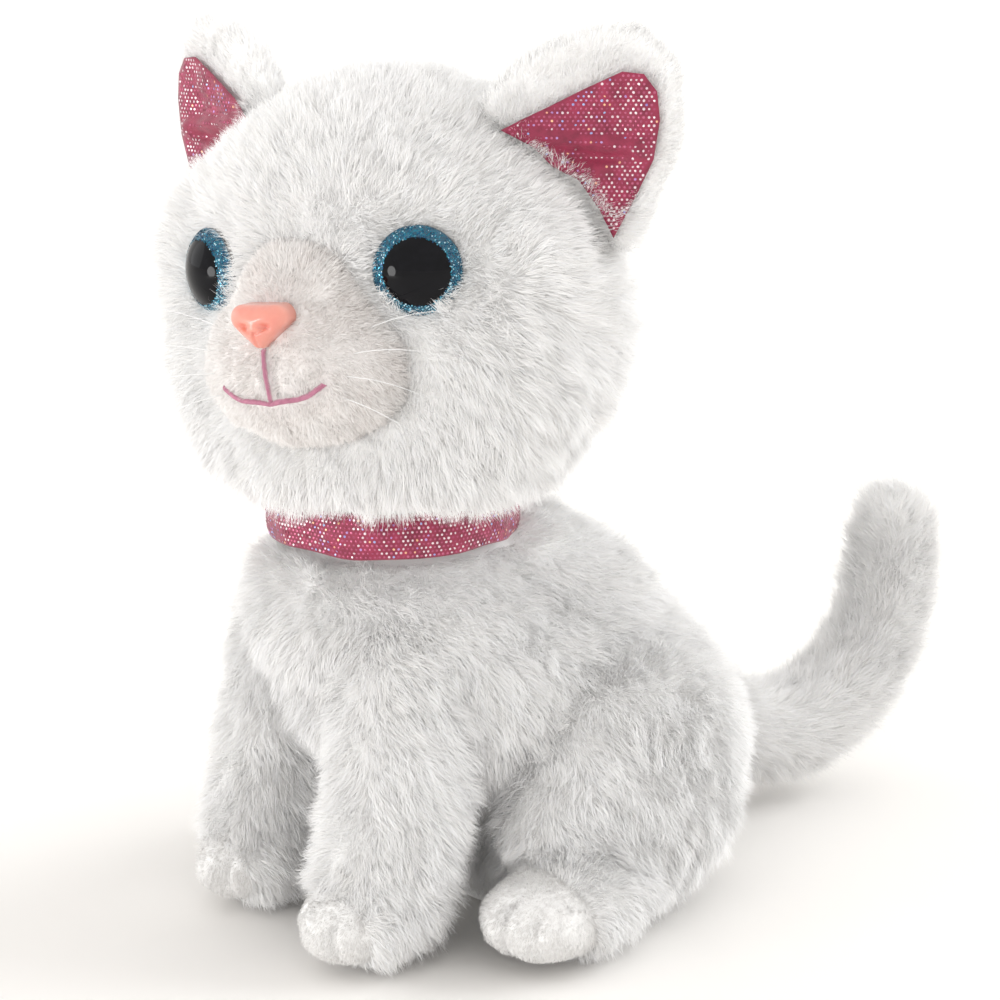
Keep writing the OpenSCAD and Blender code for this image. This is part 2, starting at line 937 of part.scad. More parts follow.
// The mouth: a line down from the nose, then a curve out to each side
module mouth_stitch() {
  r = stitch_d / 2;
  lift = r + 0.25;
  color("thistle")
    in_face()
      union() {
        strand([for (z = [152.4 : -3 : 140.4]) [0, muzzle_y(0, z) - lift, z]], r);
        for (s = [-1, 1])
          strand([
            for (k = [0 : 6])
              let (x = s * (0.2 + 2.45 * k), z = 140.2 + 0.019 * x * x)
                [x, muzzle_y(x, z) - lift, z]
          ], r);
      }
}

module whiskers() {
  color("white")
    in_face()
      mirror_pair()
        for (k = [0 : 3])
          let (x = 17 + 1.2 * k, z = 142 + 5 * k)
            translate([x, muzzle_y(x, z) - 0.8, z])
              rotate([0, 78 - 9 * k, -8]) cylinder(r = 0.3, h = 24);
}

// Room for the skull, its button and the neck shaft
module skull_room() {
  g = pocket_gap;
  translate([0, 0, 90]) cylinder(r = shaft_r + 1.5, h = 40);
  translate([0, 0, skull_z - 10.6]) cylinder(r = 8 + g, h = 12);
  translate([0, 0, skull_z - g]) cylinder(r = skull_r + g, h = skull_cyl_z - skull_z + g);
  translate([0, 0, skull_cyl_z]) sphere(r = skull_r + g);
  translate([0, 0, skull_cyl_z]) cylinder(r = button_tube_r + g, h = skull_r + 15);
}

module head_plush() {
  color("whitesmoke")
    union() {
      difference() {
        union() {
          intersection() {
            head_outline();
            translate([-100, -100, head_base_z]) cube([200, 200, 200]);
          }
          translate([0, 0, neck_top_z + 1.2]) cylinder(r = collar_r - 1, h = 20);
        }
        skull_room();
        in_face() eye_room();
        in_face() mirror([1, 0, 0]) eye_room();
        in_face() nose_room();
      }
    }
}

module ear() {
  difference() {
    hull()
      for (p = ear_corners)
        translate(ear_point(p[0], p[1])) sphere(r = ear_t / 2, $fn = 20);
    head_outline(seam_gap);
  }
}

module ear_left() {
  color("whitesmoke") union() { ear(); }
}

module ear_right() {
  color("whitesmoke") union() { mirror([1, 0, 0]) ear(); }
}

// Shiny cloth lying on the front of the ear
module ear_lining() {
  difference() {
    hull()
      for (p = lining_corners)
        translate(ear_point(p[0], p[1], ear_t / 2 + 1)) sphere(r = 0.7, $fn = 10);
    head_outline(seam_gap);
  }
}

module ear_lining_left() {
  color("palevioletred") union() { ear_lining(); }
}

module ear_lining_right() {
  color("palevioletred") union() { mirror([1, 0, 0]) ear_lining(); }
}

// The skull screws, around the rim
skull_screw_angles = [30, 150, 270];
skull_screw_r = 27.6;

module skull_base() {
  color("gainsboro")
    difference() {
      union() {
        translate([0, 0, skull_z]) cylinder(r = skull_r, h = 3);
        translate([0, 0, skull_z - 10]) cylinder(r = 8, h = 11);
      }
      translate([0, 0, 100]) cylinder(r = shaft_r + 0.02, h = 27.8);
      translate([0, 0, 100]) cylinder(r = 2, h = 50);
      for (a = skull_screw_angles)
        rotate([0, 0, a]) translate([skull_screw_r, 0, 100]) cylinder(r = 1.2, h = 50);
    }
}

module skull_dome() {
  color("gainsboro")
    difference() {
      union() {
        translate([0, 0, skull_z + 3]) cylinder(r = skull_r, h = skull_cyl_z - skull_z - 3);
        translate([0, 0, skull_cyl_z]) sphere(r = skull_r);
        translate([0, 0, skull_cyl_z]) cylinder(r = button_tube_r, h = skull_r + 10);
      }
      difference() {
        union() {
          translate([0, 0, 100]) cylinder(r = skull_r - skull_t, h = skull_cyl_z - 100);
          translate([0, 0, skull_cyl_z]) sphere(r = skull_r - skull_t);
        }
        for (a = skull_screw_angles)
          rotate([0, 0, a]) translate([skull_screw_r, 0, skull_z]) cylinder(r = 3, h = 14);
        translate([0, 0, skull_cyl_z + skull_r - 3]) cylinder(r = 8, h = 3);
      }
      translate([0, 0, 90]) cylinder(r = 60, h = skull_z + 3 - 90);
      for (a = skull_screw_angles)
        rotate([0, 0, a]) translate([skull_screw_r, 0, 120]) cylinder(r = 0.95, h = 18);
      translate([0, 0, skull_cyl_z + skull_r]) cylinder(r = button_r + 0.35, h = 30);
      translate([0, 0, 150]) cylinder(r = 1.2, h = 60);
    }
}

module skull_screws() {
  color("silver")
    for (a = skull_screw_angles)
      rotate([0, 0, a])
        translate([skull_screw_r, 0, skull_z - 0.5]) {
          cylinder(r = 2, h = 0.5);
          cylinder(r = 0.9, h = 9);
        }
}

module head_switch() {
  color("black")
    translate([0, 0, skull_cyl_z + skull_r + 0.05]) press_switch();
}

module head_button() {
  color("whitesmoke")
    translate([0, 0, skull_cyl_z + skull_r]) plunger();
}

module head_wire() {
  color("firebrick")
    translate([0, 0, 54]) cylinder(r = 0.8, h = skull_cyl_z + skull_r - 54);
}

// ---- placing the pieces ----

// Pieces fixed to the body, and those that turn about it
module in_body() {
  translate([neck_x, neck_y, 0]) children();
}

// Pieces that turn with the head
module in_head() {
  translate([neck_x, neck_y, 0]) rotate([0, 0, head_yaw]) children();
}

in_body() torso_plush();
in_body() front_leg_left();
in_body() front_leg_right();
in_body() hind_leg_left();
in_body() hind_leg_right();
in_body() collar();
in_body() case_base();
in_body() case_cover();
in_body() gear_cover();
in_body() battery_cells();
in_body() contact_springs();
in_body() contact_plates();
in_body() case_screws();
in_body() gear_cover_screws();
in_body() circuit_board();
in_body() board_components();
in_body() board_screws();
in_body() speaker_frame();
in_body() speaker_magnet();
in_body() speaker_cone();
in_body() head_motor();
in_body() tail_motor();
in_body() tail_axle();
in_body() power_switch_body();
in_body() back_switch();
in_body() wire_loom();
in_head() head_plush();
in_head() muzzle_plush();
in_head() ear_left();
in_head() ear_right();
in_head() ear_lining_left();
in_head() ear_lining_right();
in_head() eye_left();
in_head() eye_right();
in_head() eye_washers();
in_head() nose();
in_head() nose_washer();
in_head() mouth_stitch();
in_head() whiskers();
in_head() neck_shaft();
in_body() neck_gear();
in_head() skull_base();
in_head() skull_dome();
in_head() skull_screws();
in_head() head_switch();
in_head() head_wire();
in_body() tail_plush();
in_body() tail_wire();
in_body() tail_gear();
in_body() tail_arm();
in_body() head_pinion();
in_body() tail_pinion();
in_body() power_slider();
in_body() battery_door();
in_body() door_screw();
in_body() back_button();
in_head() head_button();
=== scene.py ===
"""A sitting plush kitten, an interactive pet, drawn around its CAD frame.

Shapes are worked out in millimetres with the neck's upright axis at x = y = 0, and are
placed in the frame's metres as each mesh is made. Every sewn piece has a stuffed skin and
a pile of real strands that grows out of it.
"""

import json
import math

import bmesh
import bpy
import numpy as np
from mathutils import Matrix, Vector, geometry, kdtree
from numpy.linalg import norm


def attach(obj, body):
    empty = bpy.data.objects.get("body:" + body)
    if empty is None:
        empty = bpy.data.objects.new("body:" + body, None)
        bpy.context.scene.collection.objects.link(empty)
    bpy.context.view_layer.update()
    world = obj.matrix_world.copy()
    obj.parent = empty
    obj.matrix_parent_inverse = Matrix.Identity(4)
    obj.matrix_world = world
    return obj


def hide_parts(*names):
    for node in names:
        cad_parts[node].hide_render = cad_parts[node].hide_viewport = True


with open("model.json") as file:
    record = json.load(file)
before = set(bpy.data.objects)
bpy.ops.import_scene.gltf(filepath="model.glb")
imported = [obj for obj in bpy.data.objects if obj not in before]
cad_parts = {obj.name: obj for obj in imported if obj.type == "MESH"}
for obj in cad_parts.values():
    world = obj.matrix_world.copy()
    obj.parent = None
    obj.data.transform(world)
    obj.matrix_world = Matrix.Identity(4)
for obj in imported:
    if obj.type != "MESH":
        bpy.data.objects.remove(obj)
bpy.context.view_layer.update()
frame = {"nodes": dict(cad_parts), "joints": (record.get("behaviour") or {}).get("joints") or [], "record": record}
JOINTS = {j["name"]: j for j in frame["joints"]}
NECK = np.array([*JOINTS["head_turn"]["pos_m"][:2], 0.0]) * 1000
HEAD_YAW = 23.0  # the head's angle at rest, toward the kitten's left
EAR_SPLAY = math.radians(25)
EYE_SPLAY = math.radians(26)
FLOOR_CLEAR = 0.4
MAX_STRANDS = 60000  # strands in one mesh
FACE_TILT = math.radians(4)  # the face is sewn a little out of level
FACE_Z = 155.0  # height about which that tilt turns
NECK_HOLE = 30.0  # inside this radius the neck hides the pile of body and head
FOIL_PITCH, FOIL_R = 1.1, 0.31
FOIL_ROW = FOIL_PITCH * math.sqrt(3) / 2
SUN_SPREAD = math.radians(40)
# strands in a square millimetre
TORSO_DENSITY, LIMB_DENSITY, HEAD_DENSITY, TUFT_DENSITY = 6.6, 6.4, 7.2, 9.0
MUZZLE_DENSITY, TOE_DENSITY, EAR_DENSITY, FRINGE_DENSITY = 9.0, 11.0, 6.0, 12.0

# ---- shapes, in mm: a pad is x, y, z and half width, depth and height ----

TORSO = [
    (0, 0, 94, 31, 30, 16), (0, 10, 88, 33, 33, 21), (0, -3, 79, 40, 35, 26),
    (0, 22, 76, 36, 34, 28), (0, 8, 66, 43, 40, 34), (0, 28, 55, 47, 44, 42),
    (0, 48, 44, 52, 50, 41), (0, 55, 37, 53, 51, 37), (0, 50, 13, 47, 48, 15),
]
UPPER_BACK = [(0, 28, 92, 29.5, 27, 19.5), (0, 49, 73, 36, 30, 22)]
SHOULDERS = [(-3, -4, 88, 35.5, 33, 17), (0, -3, 79, 40, 35, 26)]
FRONT_LEG = [
    (23, -12, 66, 16, 22, 24), (25, -16, 40, 17, 21, 26),
    (26, -23, 15, 16, 21, 15.5), (27.4, -31, 12, 17, 20, 13),
]
FAR_LEG = [*FRONT_LEG[:2], (24.5, -22, 15, 16, 21, 15.5), (24, -29, 12, 16.4, 19.5, 13)]
HAUNCH = [(38, 46, 42, 20, 36, 30), (39.5, 41.5, 27, 21, 40.5, 26)]
HIND_FOOT = [
    (42, 40, 14, 14, 30, 14), (48.5, 22, 14, 17, 24, 14.5), (56, 5, 13.5, 19, 21.5, 14),
]
HEAD = [
    (0, 3, 164, 57, 47, 54), (0, 3, 159, 60, 49, 59), (0, 3, 152, 58.5, 48, 50),
]
JAW = [(-1.6, 2, 138, 56.5, 47, 30), (-2.4, -0.5, 119, 46.5, 42.5, 11)]
NECK_PLUG = [(0, 0, 122, 32, 32, 20), (0, 0, 115, 32, 32, 12)]
MUZZLE = [(0, -36, 147, 27, 20, 19.5), (0, -36, 164, 16, 14.5, 14)]
TAIL = [
    (0, 104, 33, 14), (0, 110, 30, 14.6), (0, 122, 23, 14.8), (0, 136, 20, 15),
    (0, 151, 22.5, 15), (0, 165, 30, 14.8), (0, 175, 42, 14.5), (0, 180, 55, 14.2),
    (0, 181.5, 67, 13.8), (0, 181, 75.5, 12.5),
]
EAR_OUTLINE = [
    (33, 206), (41, 215), (52, 220.5), (62, 221.5), (68.5, 215), (69, 199), (60.5, 176), (48, 186),
]
LINING_OUTLINE = [
    (34.6, 201.6), (43, 206), (53, 211.5), (60, 215), (64.5, 214.5), (67.3, 210.5),
    (68, 204), (66.8, 195), (63, 186), (58.5, 176.5), (55.5, 183), (51, 190),
    (45.5, 193), (41.5, 197.5),
]
EAR_ACROSS = np.array([math.cos(EAR_SPLAY), math.sin(EAR_SPLAY), 0])
EAR_FACING = np.array([math.sin(EAR_SPLAY), -math.cos(EAR_SPLAY), 0])
EAR_HALF, EAR_BACK = 3.1, 2.0  # half thickness, and how far behind its middle plane
FRONT_CAP, HIND_CAP = (-37, 20), (8, 25)  # y and top of the short pile on a paw
CASE_FOOT = (-25.5, 25.5, 13.5, 90.5)  # x and y limits of the case's bare underside
CASE_STEP, CASE_TOP, CASE_TOP_REAR = 80, 9.0, 5.2
EYE = np.array([28.7, -33.0, 169.0])
EYE_R, PUPIL_R = 10.5, 7.9
DOME_R, DOME_SINK = 13.0, 7.5
NOSE = np.array([0.0, -55.8, 159.3])


# ---- small tools ----


def head_place(p):
    """Head-local millimetres to kitten millimetres, at rest."""
    c, s = math.cos(math.radians(HEAD_YAW)), math.sin(math.radians(HEAD_YAW))
    p = np.asarray(p, float)
    return np.stack([p[:, 0] * c - p[:, 1] * s, p[:, 0] * s + p[:, 1] * c, p[:, 2]], 1)


def face_place(p):
    """Face-local millimetres, before the face's tilt, to kitten millimetres at rest."""
    return head_place(tilted(p, 1))


def tilted(p, way):
    """Turns points with the face's tilt (way 1) or back out of it (way -1)."""
    c, s = math.cos(FACE_TILT), way * math.sin(FACE_TILT)
    p = np.asarray(p, float)
    x, z = p[:, 0], p[:, 2] - FACE_Z
    return np.stack([x * c - z * s, p[:, 1], x * s + z * c + FACE_Z], 1)


def unit(v):
    return v / np.maximum(norm(v, axis=1, keepdims=True), 1e-9)


def mirrored(pads):
    return [(-p[0], *p[1:]) for p in pads]


def tail_pads():
    return [(x, y, z, r, r, r) for x, y, z, r in TAIL]


def even(value):
    """The same length of pile at every root."""
    return lambda p, n: np.full(len(p), value)


def steady(*direction):
    """The same direction of pile at every root."""
    return lambda p, n: np.tile(direction, (len(p), 1))


def spokes(u, w, angles):
    """Unit steps at angles round each pair of directions u and w."""
    return np.cos(angles)[None, :, None] * u[:, None] + np.sin(angles)[None, :, None] * w[:, None]


def smooth_step(lo, hi, x):
    t = np.clip((x - lo) / (hi - lo), 0, 1)
    return t * t * (3 - 2 * t)


def bell(x, wide):
    """1 at x = 0, falling to about a third at wide on each side."""
    return np.exp(-((x / wide) ** 2))


def turns(count):
    """Angles of count even steps round a full turn."""
    return np.arange(count) * 2 * math.pi / count


def polar(r, a, z):
    return np.stack([r * np.cos(a), r * np.sin(a), z], 1)


def repeated(cell, count, stride):
    """The faces of one small shape, for count copies that have stride vertices each."""
    return (np.arange(count)[:, None, None] * stride + np.array(cell)).reshape(-1, 3)


def wave_noise(p, scale, seed):
    """Smooth noise from -1 to 1 at points in millimetres, with features about scale wide."""
    rng = np.random.default_rng(seed)
    total = np.zeros(len(p))
    for k in range(6):
        d = unit(rng.normal(size=(1, 3)))[0]
        along_d = p @ d * (2 * math.pi / scale)
        total += np.sin(along_d * rng.uniform(0.6, 1.6) + rng.uniform(0, 6.28))
    return total / 3.2


def in_pads(points, pads, grow=0.0):
    """True where a point lies inside a limb through the pads."""
    inside = np.zeros(len(points), bool)
    for a, b in zip(pads[:-1], pads[1:]):
        for t in np.linspace(0, 1, 6):
            m = np.array(a) * (1 - t) + np.array(b) * t
            q = (points - m[:3]) / (m[3:] + grow)
            inside |= (q * q).sum(1) < 1
    return inside


def in_scene(name, data):
    obj = bpy.data.objects.new(name, data)
    bpy.context.scene.collection.objects.link(obj)
    return obj


def coords(mesh):
    v = np.empty(len(mesh.vertices) * 3)
    mesh.vertices.foreach_get("co", v)
    return v.reshape(-1, 3)


def link(name, mesh, place=None):
    """A mesh whose vertices are millimetres becomes an object in the frame's metres."""
    v = coords(mesh)
    if place is not None:
        v = place(v)
    v = (v + NECK) / 1000
    mesh.vertices.foreach_set("co", v.ravel())
    mesh.update()
    return in_scene(name, mesh)


def dress(obj, materials, body, node=None):
    """Gives a piece its materials and its body, and hides the CAD node it stands for."""
    for m in materials:
        obj.data.materials.append(m)
    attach(obj, body)
    if node is not None:
        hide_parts(node)
    return obj


def mesh_of(name, verts, faces, slots=None, smooth=True):
    """Mesh from arrays: verts n x 3, faces m x 3 or m x 4, one material index a face."""
    verts, faces = np.asarray(verts, float), np.asarray(faces, int)
    k = faces.shape[1]
    mesh = bpy.data.meshes.new(name)
    mesh.vertices.add(len(verts))
    mesh.vertices.foreach_set("co", verts.ravel())
    mesh.loops.add(faces.size)
    mesh.loops.foreach_set("vertex_index", faces.ravel())
    mesh.polygons.add(len(faces))
    mesh.polygons.foreach_set("loop_start", np.arange(len(faces)) * k)
    if slots is not None:
        mesh.polygons.foreach_set("material_index", np.asarray(slots, int))
    mesh.polygons.foreach_set("use_smooth", np.full(len(faces), smooth))
    mesh.update()
    mesh.validate()
    return mesh


# ---- materials ----


def noise_node(nt, scale, detail=4.0):
    coord = nt.nodes.new("ShaderNodeTexCoord")
    noise = nt.nodes.new("ShaderNodeTexNoise")
    noise.inputs["Scale"].default_value = scale
    noise.inputs["Detail"].default_value = detail
    noise.inputs["Roughness"].default_value = 0.55
    nt.links.new(coord.outputs["Object"], noise.inputs["Vector"])
    return noise


def mottled(name, light, dark, scale, roughness, bump=0.0, bump_scale=800.0, **sockets):
    """A material whose colour drifts between two tones, with fine bumps where asked."""
    m = bpy.data.materials.new(name)
    m.use_nodes = True
    nt = m.node_tree
    p = nt.nodes["Principled BSDF"]
    noise = noise_node(nt, scale)
    ramp = nt.nodes.new("ShaderNodeValToRGB")
    nt.links.new(noise.outputs["Fac"], ramp.inputs["Fac"])
    for e, at, colour in zip(ramp.color_ramp.elements, (0.3, 0.7), (dark, light)):
        e.position, e.color = at, (*colour, 1)
    nt.links.new(ramp.outputs["Color"], p.inputs["Base Color"])
    for key, value in {"Roughness": roughness, **sockets}.items():
        p.inputs[key.replace("_", " ")].default_value = value
    if bump:
        b = nt.nodes.new("ShaderNodeBump")
        b.inputs["Strength"].default_value = bump
        b.inputs["Distance"].default_value = 0.0002
        nt.links.new(noise_node(nt, bump_scale, 2.0).outputs["Fac"], b.inputs["Height"])
        nt.links.new(b.outputs["Normal"], p.inputs["Normal"])
    return m


def white_tones(scale, *tones):
    return [
        mottled(n, a, b, scale, 0.62, Specular_IOR_Level=0.2, Sheen_Weight=0.3)
        for n, a, b in tones
    ]


PILE = white_tones(
    60.0,
    ("pile_cool", (0.98, 0.98, 0.99), (0.965, 0.965, 0.975)),
    ("pile_clear", (0.985, 0.98, 0.975), (0.97, 0.965, 0.955)),
    ("pile_warm", (0.975, 0.965, 0.955), (0.955, 0.94, 0.925)),
)
# the muzzle's velour is white like the body's pile; these darker, warmer tones are painted shade
SHADED_MUZZLE_PILE = white_tones(
    90.0,
    ("velour_clear", (0.93, 0.915, 0.905), (0.88, 0.855, 0.84)),
    ("velour_warm", (0.91, 0.888, 0.872), (0.85, 0.815, 0.795)),
    ("velour_dull", (0.88, 0.852, 0.835), (0.79, 0.75, 0.728)),
)
# the toe caps' short pile is white like the body's pile; these greyer tones are painted shade, standing in for the
# shade long strands cast
SHADED_TOE_PILE = white_tones(
    90.0,
    ("toe_clear", (0.9, 0.895, 0.89), (0.87, 0.86, 0.85)),
    ("toe_warm", (0.88, 0.87, 0.86), (0.85, 0.835, 0.82)),
    ("toe_dull", (0.86, 0.85, 0.835), (0.82, 0.8, 0.785)),
)
BACKING = mottled(
    "plush_backing", (0.96, 0.955, 0.95), (0.93, 0.925, 0.92), 220.0, 0.85, 0.5, 1400.0,
    Specular_IOR_Level=0.15,
)
# the muzzle's backing: darker, warmer tones that are painted shade on white cloth
SHADED_MUZZLE_BACKING = mottled(
    "velour_backing", (0.91, 0.885, 0.875), (0.84, 0.8, 0.785), 90.0, 0.85, 0.5, 1400.0,
    Specular_IOR_Level=0.15,
)
# the crimson ground under the foil dots, and the dots' own tones
CLOTH = mottled(
    "foil_cloth_ground", (0.36, 0.022, 0.075), (0.2, 0.01, 0.04), 300.0, 0.5, 0.6, 2600.0,
    Sheen_Weight=0.3,
)
FOILS = [
    mottled(name, light, dark, 500.0, 0.3, Metallic=0.75)
    for name, light, dark in (
        ("foil_silver", (0.9, 0.78, 0.82), (0.72, 0.52, 0.58)),
        ("foil_rose", (0.6, 0.17, 0.28), (0.34, 0.06, 0.12)),
        ("foil_violet", (0.66, 0.45, 0.78), (0.45, 0.2, 0.5)),
        ("foil_amber", (0.95, 0.62, 0.35), (0.8, 0.35, 0.28)),
        ("foil_blue", (0.45, 0.62, 0.9), (0.35, 0.25, 0.6)),
    )
]
FOIL_SHARES = (0.34, 0.53, 0.06, 0.03, 0.04)
PUPIL = mottled(
    "pupil_black", (0.004, 0.004, 0.006), (0.001, 0.001, 0.002), 400.0, 0.05,
    Specular_IOR_Level=0.18,
)
IRIS = mottled(
    "iris_teal", (0.012, 0.11, 0.18), (0.004, 0.04, 0.075), 900.0, 0.3, Coat_Weight=0.3
)
GLITTERS = [
    mottled("glitter_teal", (0.03, 0.27, 0.38), (0.01, 0.12, 0.2), 900.0, 0.22, Metallic=0.8),
    mottled("glitter_sky", (0.3, 0.72, 0.88), (0.1, 0.42, 0.62), 900.0, 0.2, Metallic=0.85),
    mottled("glitter_navy", (0.02, 0.1, 0.24), (0.01, 0.04, 0.1), 900.0, 0.25, Metallic=0.7),
    mottled("glitter_ice", (0.75, 0.93, 0.98), (0.45, 0.75, 0.88), 900.0, 0.18, Metallic=0.85),
]
NOSE_PINK = mottled(
    "nose_coral", (0.82, 0.33, 0.26), (0.74, 0.25, 0.2), 130.0, 0.28, 0.15, 900.0,
    Coat_Weight=0.35, Subsurface_Weight=0.1,
)
THREAD = mottled(
    "mauve_thread", (0.58, 0.23, 0.34), (0.4, 0.13, 0.21), 700.0, 0.42, Sheen_Weight=0.4
)
WHISKER = mottled("whisker_nylon", (0.93, 0.93, 0.93), (0.8, 0.8, 0.8), 200.0, 0.25)


# ---- stuffed skins ----


def ball_points(pad, grow, count=260):
    k = np.arange(count) + 0.5
    phi, theta = np.arccos(1 - 2 * k / count), math.pi * (1 + 5**0.5) * k
    s = np.stack([np.cos(theta) * np.sin(phi), np.sin(theta) * np.sin(phi), np.cos(phi)], 1)
    return s * (np.array(pad[3:]) + grow) + np.array(pad[:3])


def add_hull(bm, points):
    verts = [bm.verts.new(p) for p in points]
    out = bmesh.ops.convex_hull(bm, input=verts)
    inner = out["geom_interior"] + out["geom_unused"]
    loose = {e for e in inner if isinstance(e, bmesh.types.BMVert)}
    bmesh.ops.delete(bm, geom=list(loose), context="VERTS")


def skin(name, limbs, grow, voxel=2.0, rounds=18, sculpt=None):
    """The form round several limbs, each a row of pads joined one to the next."""
    clouds = [
        np.concatenate([ball_points(a, grow), ball_points(b, grow)])
        for pads in limbs
        for a, b in zip(pads[:-1], pads[1:])
    ]
    return stuffed(name, clouds, voxel, rounds, sculpt)


def stuffed(name, clouds, voxel, rounds, sculpt=None):
    """One smooth closed form round the hulls of clouds of points, in millimetres."""
    bm = bmesh.new()
    for points in clouds:
        add_hull(bm, points / 1000)
    mesh = bpy.data.meshes.new(name)
    bm.to_mesh(mesh)
    bm.free()
    tmp = in_scene(name + "_tmp", mesh)
    r = tmp.modifiers.new("r", "REMESH")
    r.mode, r.voxel_size = "VOXEL", voxel / 1000
    s = tmp.modifiers.new("s", "SMOOTH")
    s.factor, s.iterations = 0.5, rounds
    shaped = tmp.evaluated_get(bpy.context.evaluated_depsgraph_get())
    done = bpy.data.meshes.new_from_object(shaped)
    bpy.data.objects.remove(tmp)
    bpy.data.meshes.remove(mesh)
    v = coords(done) * 1000
    if sculpt is not None:
        v = sculpt(v)
    done.vertices.foreach_set("co", v.ravel())
    done.update()
    done.name = name
    done.polygons.foreach_set("use_smooth", np.ones(len(done.polygons), bool))
    return done


def crosses(v, t):
    """Each triangle's normal, as long as twice its area."""
    a, b, c = v[t[:, 0]], v[t[:, 1]], v[t[:, 2]]
    return np.cross(b - a, c - a)


def surface(mesh):
    """(vertices, triangles, vertex normals) of a mesh."""
    mesh.calc_loop_triangles()
    t = np.empty(len(mesh.loop_triangles) * 3, np.int32)
    mesh.loop_triangles.foreach_get("vertices", t)
    v, t = coords(mesh), t.reshape(-1, 3)
    fn = crosses(v, t)
    n = np.zeros_like(v)
    for k in range(3):
        np.add.at(n, t[:, k], fn)
    return v, t, unit(n)


def scatter(mesh, per_mm2, rng):
    """Random points on a mesh with their smooth normals."""
    v, t, n = surface(mesh)
    area = norm(crosses(v, t), axis=1) / 2
    count = int(area.sum() * per_mm2)
    pick = rng.choice(len(t), count, p=area / area.sum())
    r1, r2 = np.sqrt(rng.random(count)), rng.random(count)
    w = np.stack([1 - r1, r1 * (1 - r2), r1 * r2], 1)
    p = (v[t[pick]] * w[:, :, None]).sum(1)
    m = unit((n[t[pick]] * w[:, :, None]).sum(1))
    return p, m


# ---- pile ----


def pile(name, body, mesh, per_mm2, length, flow, seed, lean=0.62, width=0.165, clump=4.2,
         gather=0.42, frizz=0.9, keep=None, place=None, sink=0.5, swirl=0.45, tones=PILE):
    """Strands that grow out of a skin and lie over along flow, drawn together in tufts.

    length(p, n) gives millimetres and flow(p, n) a direction at each root, and keep(p, n)
    says which roots stay.
    """
    rng = np.random.default_rng(seed)
    p, n = scatter(mesh, per_mm2, rng)
    long = length(p, n)
    good = long > 0.3
    if keep is not None:
        good &= keep(p, n)
    p, n, long = p[good], n[good], long[good]
    long = long * (1 + 0.16 * wave_noise(p, 8.0, seed + 3)) * rng.uniform(0.62, 1.15, len(p))
    count = len(p)
    turn = np.stack([wave_noise(p, 13.0, seed + k) for k in range(3)], 1)
    f = unit(flow(p, n)) + swirl * turn + rng.normal(scale=0.28, size=(count, 3))
    f = unit(f - (f * n).sum(1, keepdims=True) * n)
    tilt = lean + 0.2 * wave_noise(p, 7.0, seed + 7) + rng.normal(scale=0.2, size=count)
    tilt = np.clip(tilt, 0.05, 1.3)[:, None]
    line = [p - n * sink]
    for bend in (0.55, 1.35):
        d = n * np.cos(tilt * bend) + f * np.sin(tilt * bend)
        line.append(line[-1] + d * (long / 2)[:, None])
    line = np.stack(line, 1)
    # strands near a tuft's middle close in on it toward their tips
    middles = rng.choice(count, max(1, int(count / (per_mm2 * clump * clump))), replace=False)
    tree = kdtree.KDTree(len(middles))
    for i, m in enumerate(middles):
        tree.insert(p[m], i)
    tree.balance()
    near = middles[np.array([tree.find(Vector(q))[1] for q in p])]
    pull = gather * rng.uniform(0.3, 1.0, count)[:, None]
    for k, share in ((1, 0.35), (2, 1.0)):
        target = line[near, k] + (p - p[near]) * (1 - 0.7 * share)
        line[:, k] += (target - line[:, k]) * pull * share
        line[:, k] += rng.normal(scale=frizz * share * 0.45, size=(count, 3))
    line[:, :, 2] = np.maximum(line[:, :, 2], FLOOR_CLEAR)
    run = line[:, 2] - line[:, 0]
    across = unit(unit(np.cross(run, n)) + rng.normal(scale=0.3, size=(count, 3)))
    half = across * (width / 2 * rng.uniform(0.7, 1.2, count)[:, None])
    rows = [line[:, 0] - half, line[:, 0] + half, line[:, 1] - half * 0.8, line[:, 1] + half * 0.8]
    verts = np.stack([*rows, line[:, 2]], 1)
    if place is not None:
        verts = place(verts.reshape(-1, 3)).reshape(verts.shape)
    cell = [(0, 3, 1), (0, 2, 3), (2, 4, 3)]
    tone = rng.choice(3, count, p=(0.3, 0.45, 0.25))
    parts = max(1, math.ceil(count / MAX_STRANDS))
    for k in range(parts):
        mine = np.arange(k, count, parts)
        faces = repeated(cell, len(mine), 5)
        tag = name if parts == 1 else f"{name}_{k + 1}"
        strands = mesh_of(tag, verts[mine].reshape(-1, 3), faces, np.repeat(tone[mine], 3))
        dress(link(tag, strands), tones, body)


def sewn(name, node, body, mesh, place=None, cloth=BACKING):
    """The stuffed skin of a piece, which stands for its CAD node."""
    obj = dress(link(name, mesh.copy(), place), [cloth], body, node)
    return obj


# ---- the body ----


def over_case(p):
    """True under the body, where the drive case shows through the skin."""
    x, y, z = p.T
    x0, x1, y0, y1 = CASE_FOOT
    top = np.where(y < CASE_STEP, CASE_TOP, CASE_TOP_REAR)
    return (x > x0) & (x < x1) & (y > y0) & (y < y1) & (z < top)


def floor_flat(v, height):
    v[:, 2] = np.maximum(v[:, 2], height)
    return v


def body_flow(p, n):
    """Down and back along the body."""
    f = np.tile([0.0, 0.25, -1.0], (len(p), 1))
    f[:, 1] += 0.5 * smooth_step(20, 90, p[:, 1])
    f[:, 0] += 0.25 * np.sign(p[:, 0]) * smooth_step(5, 40, np.abs(p[:, 0]))
    return f


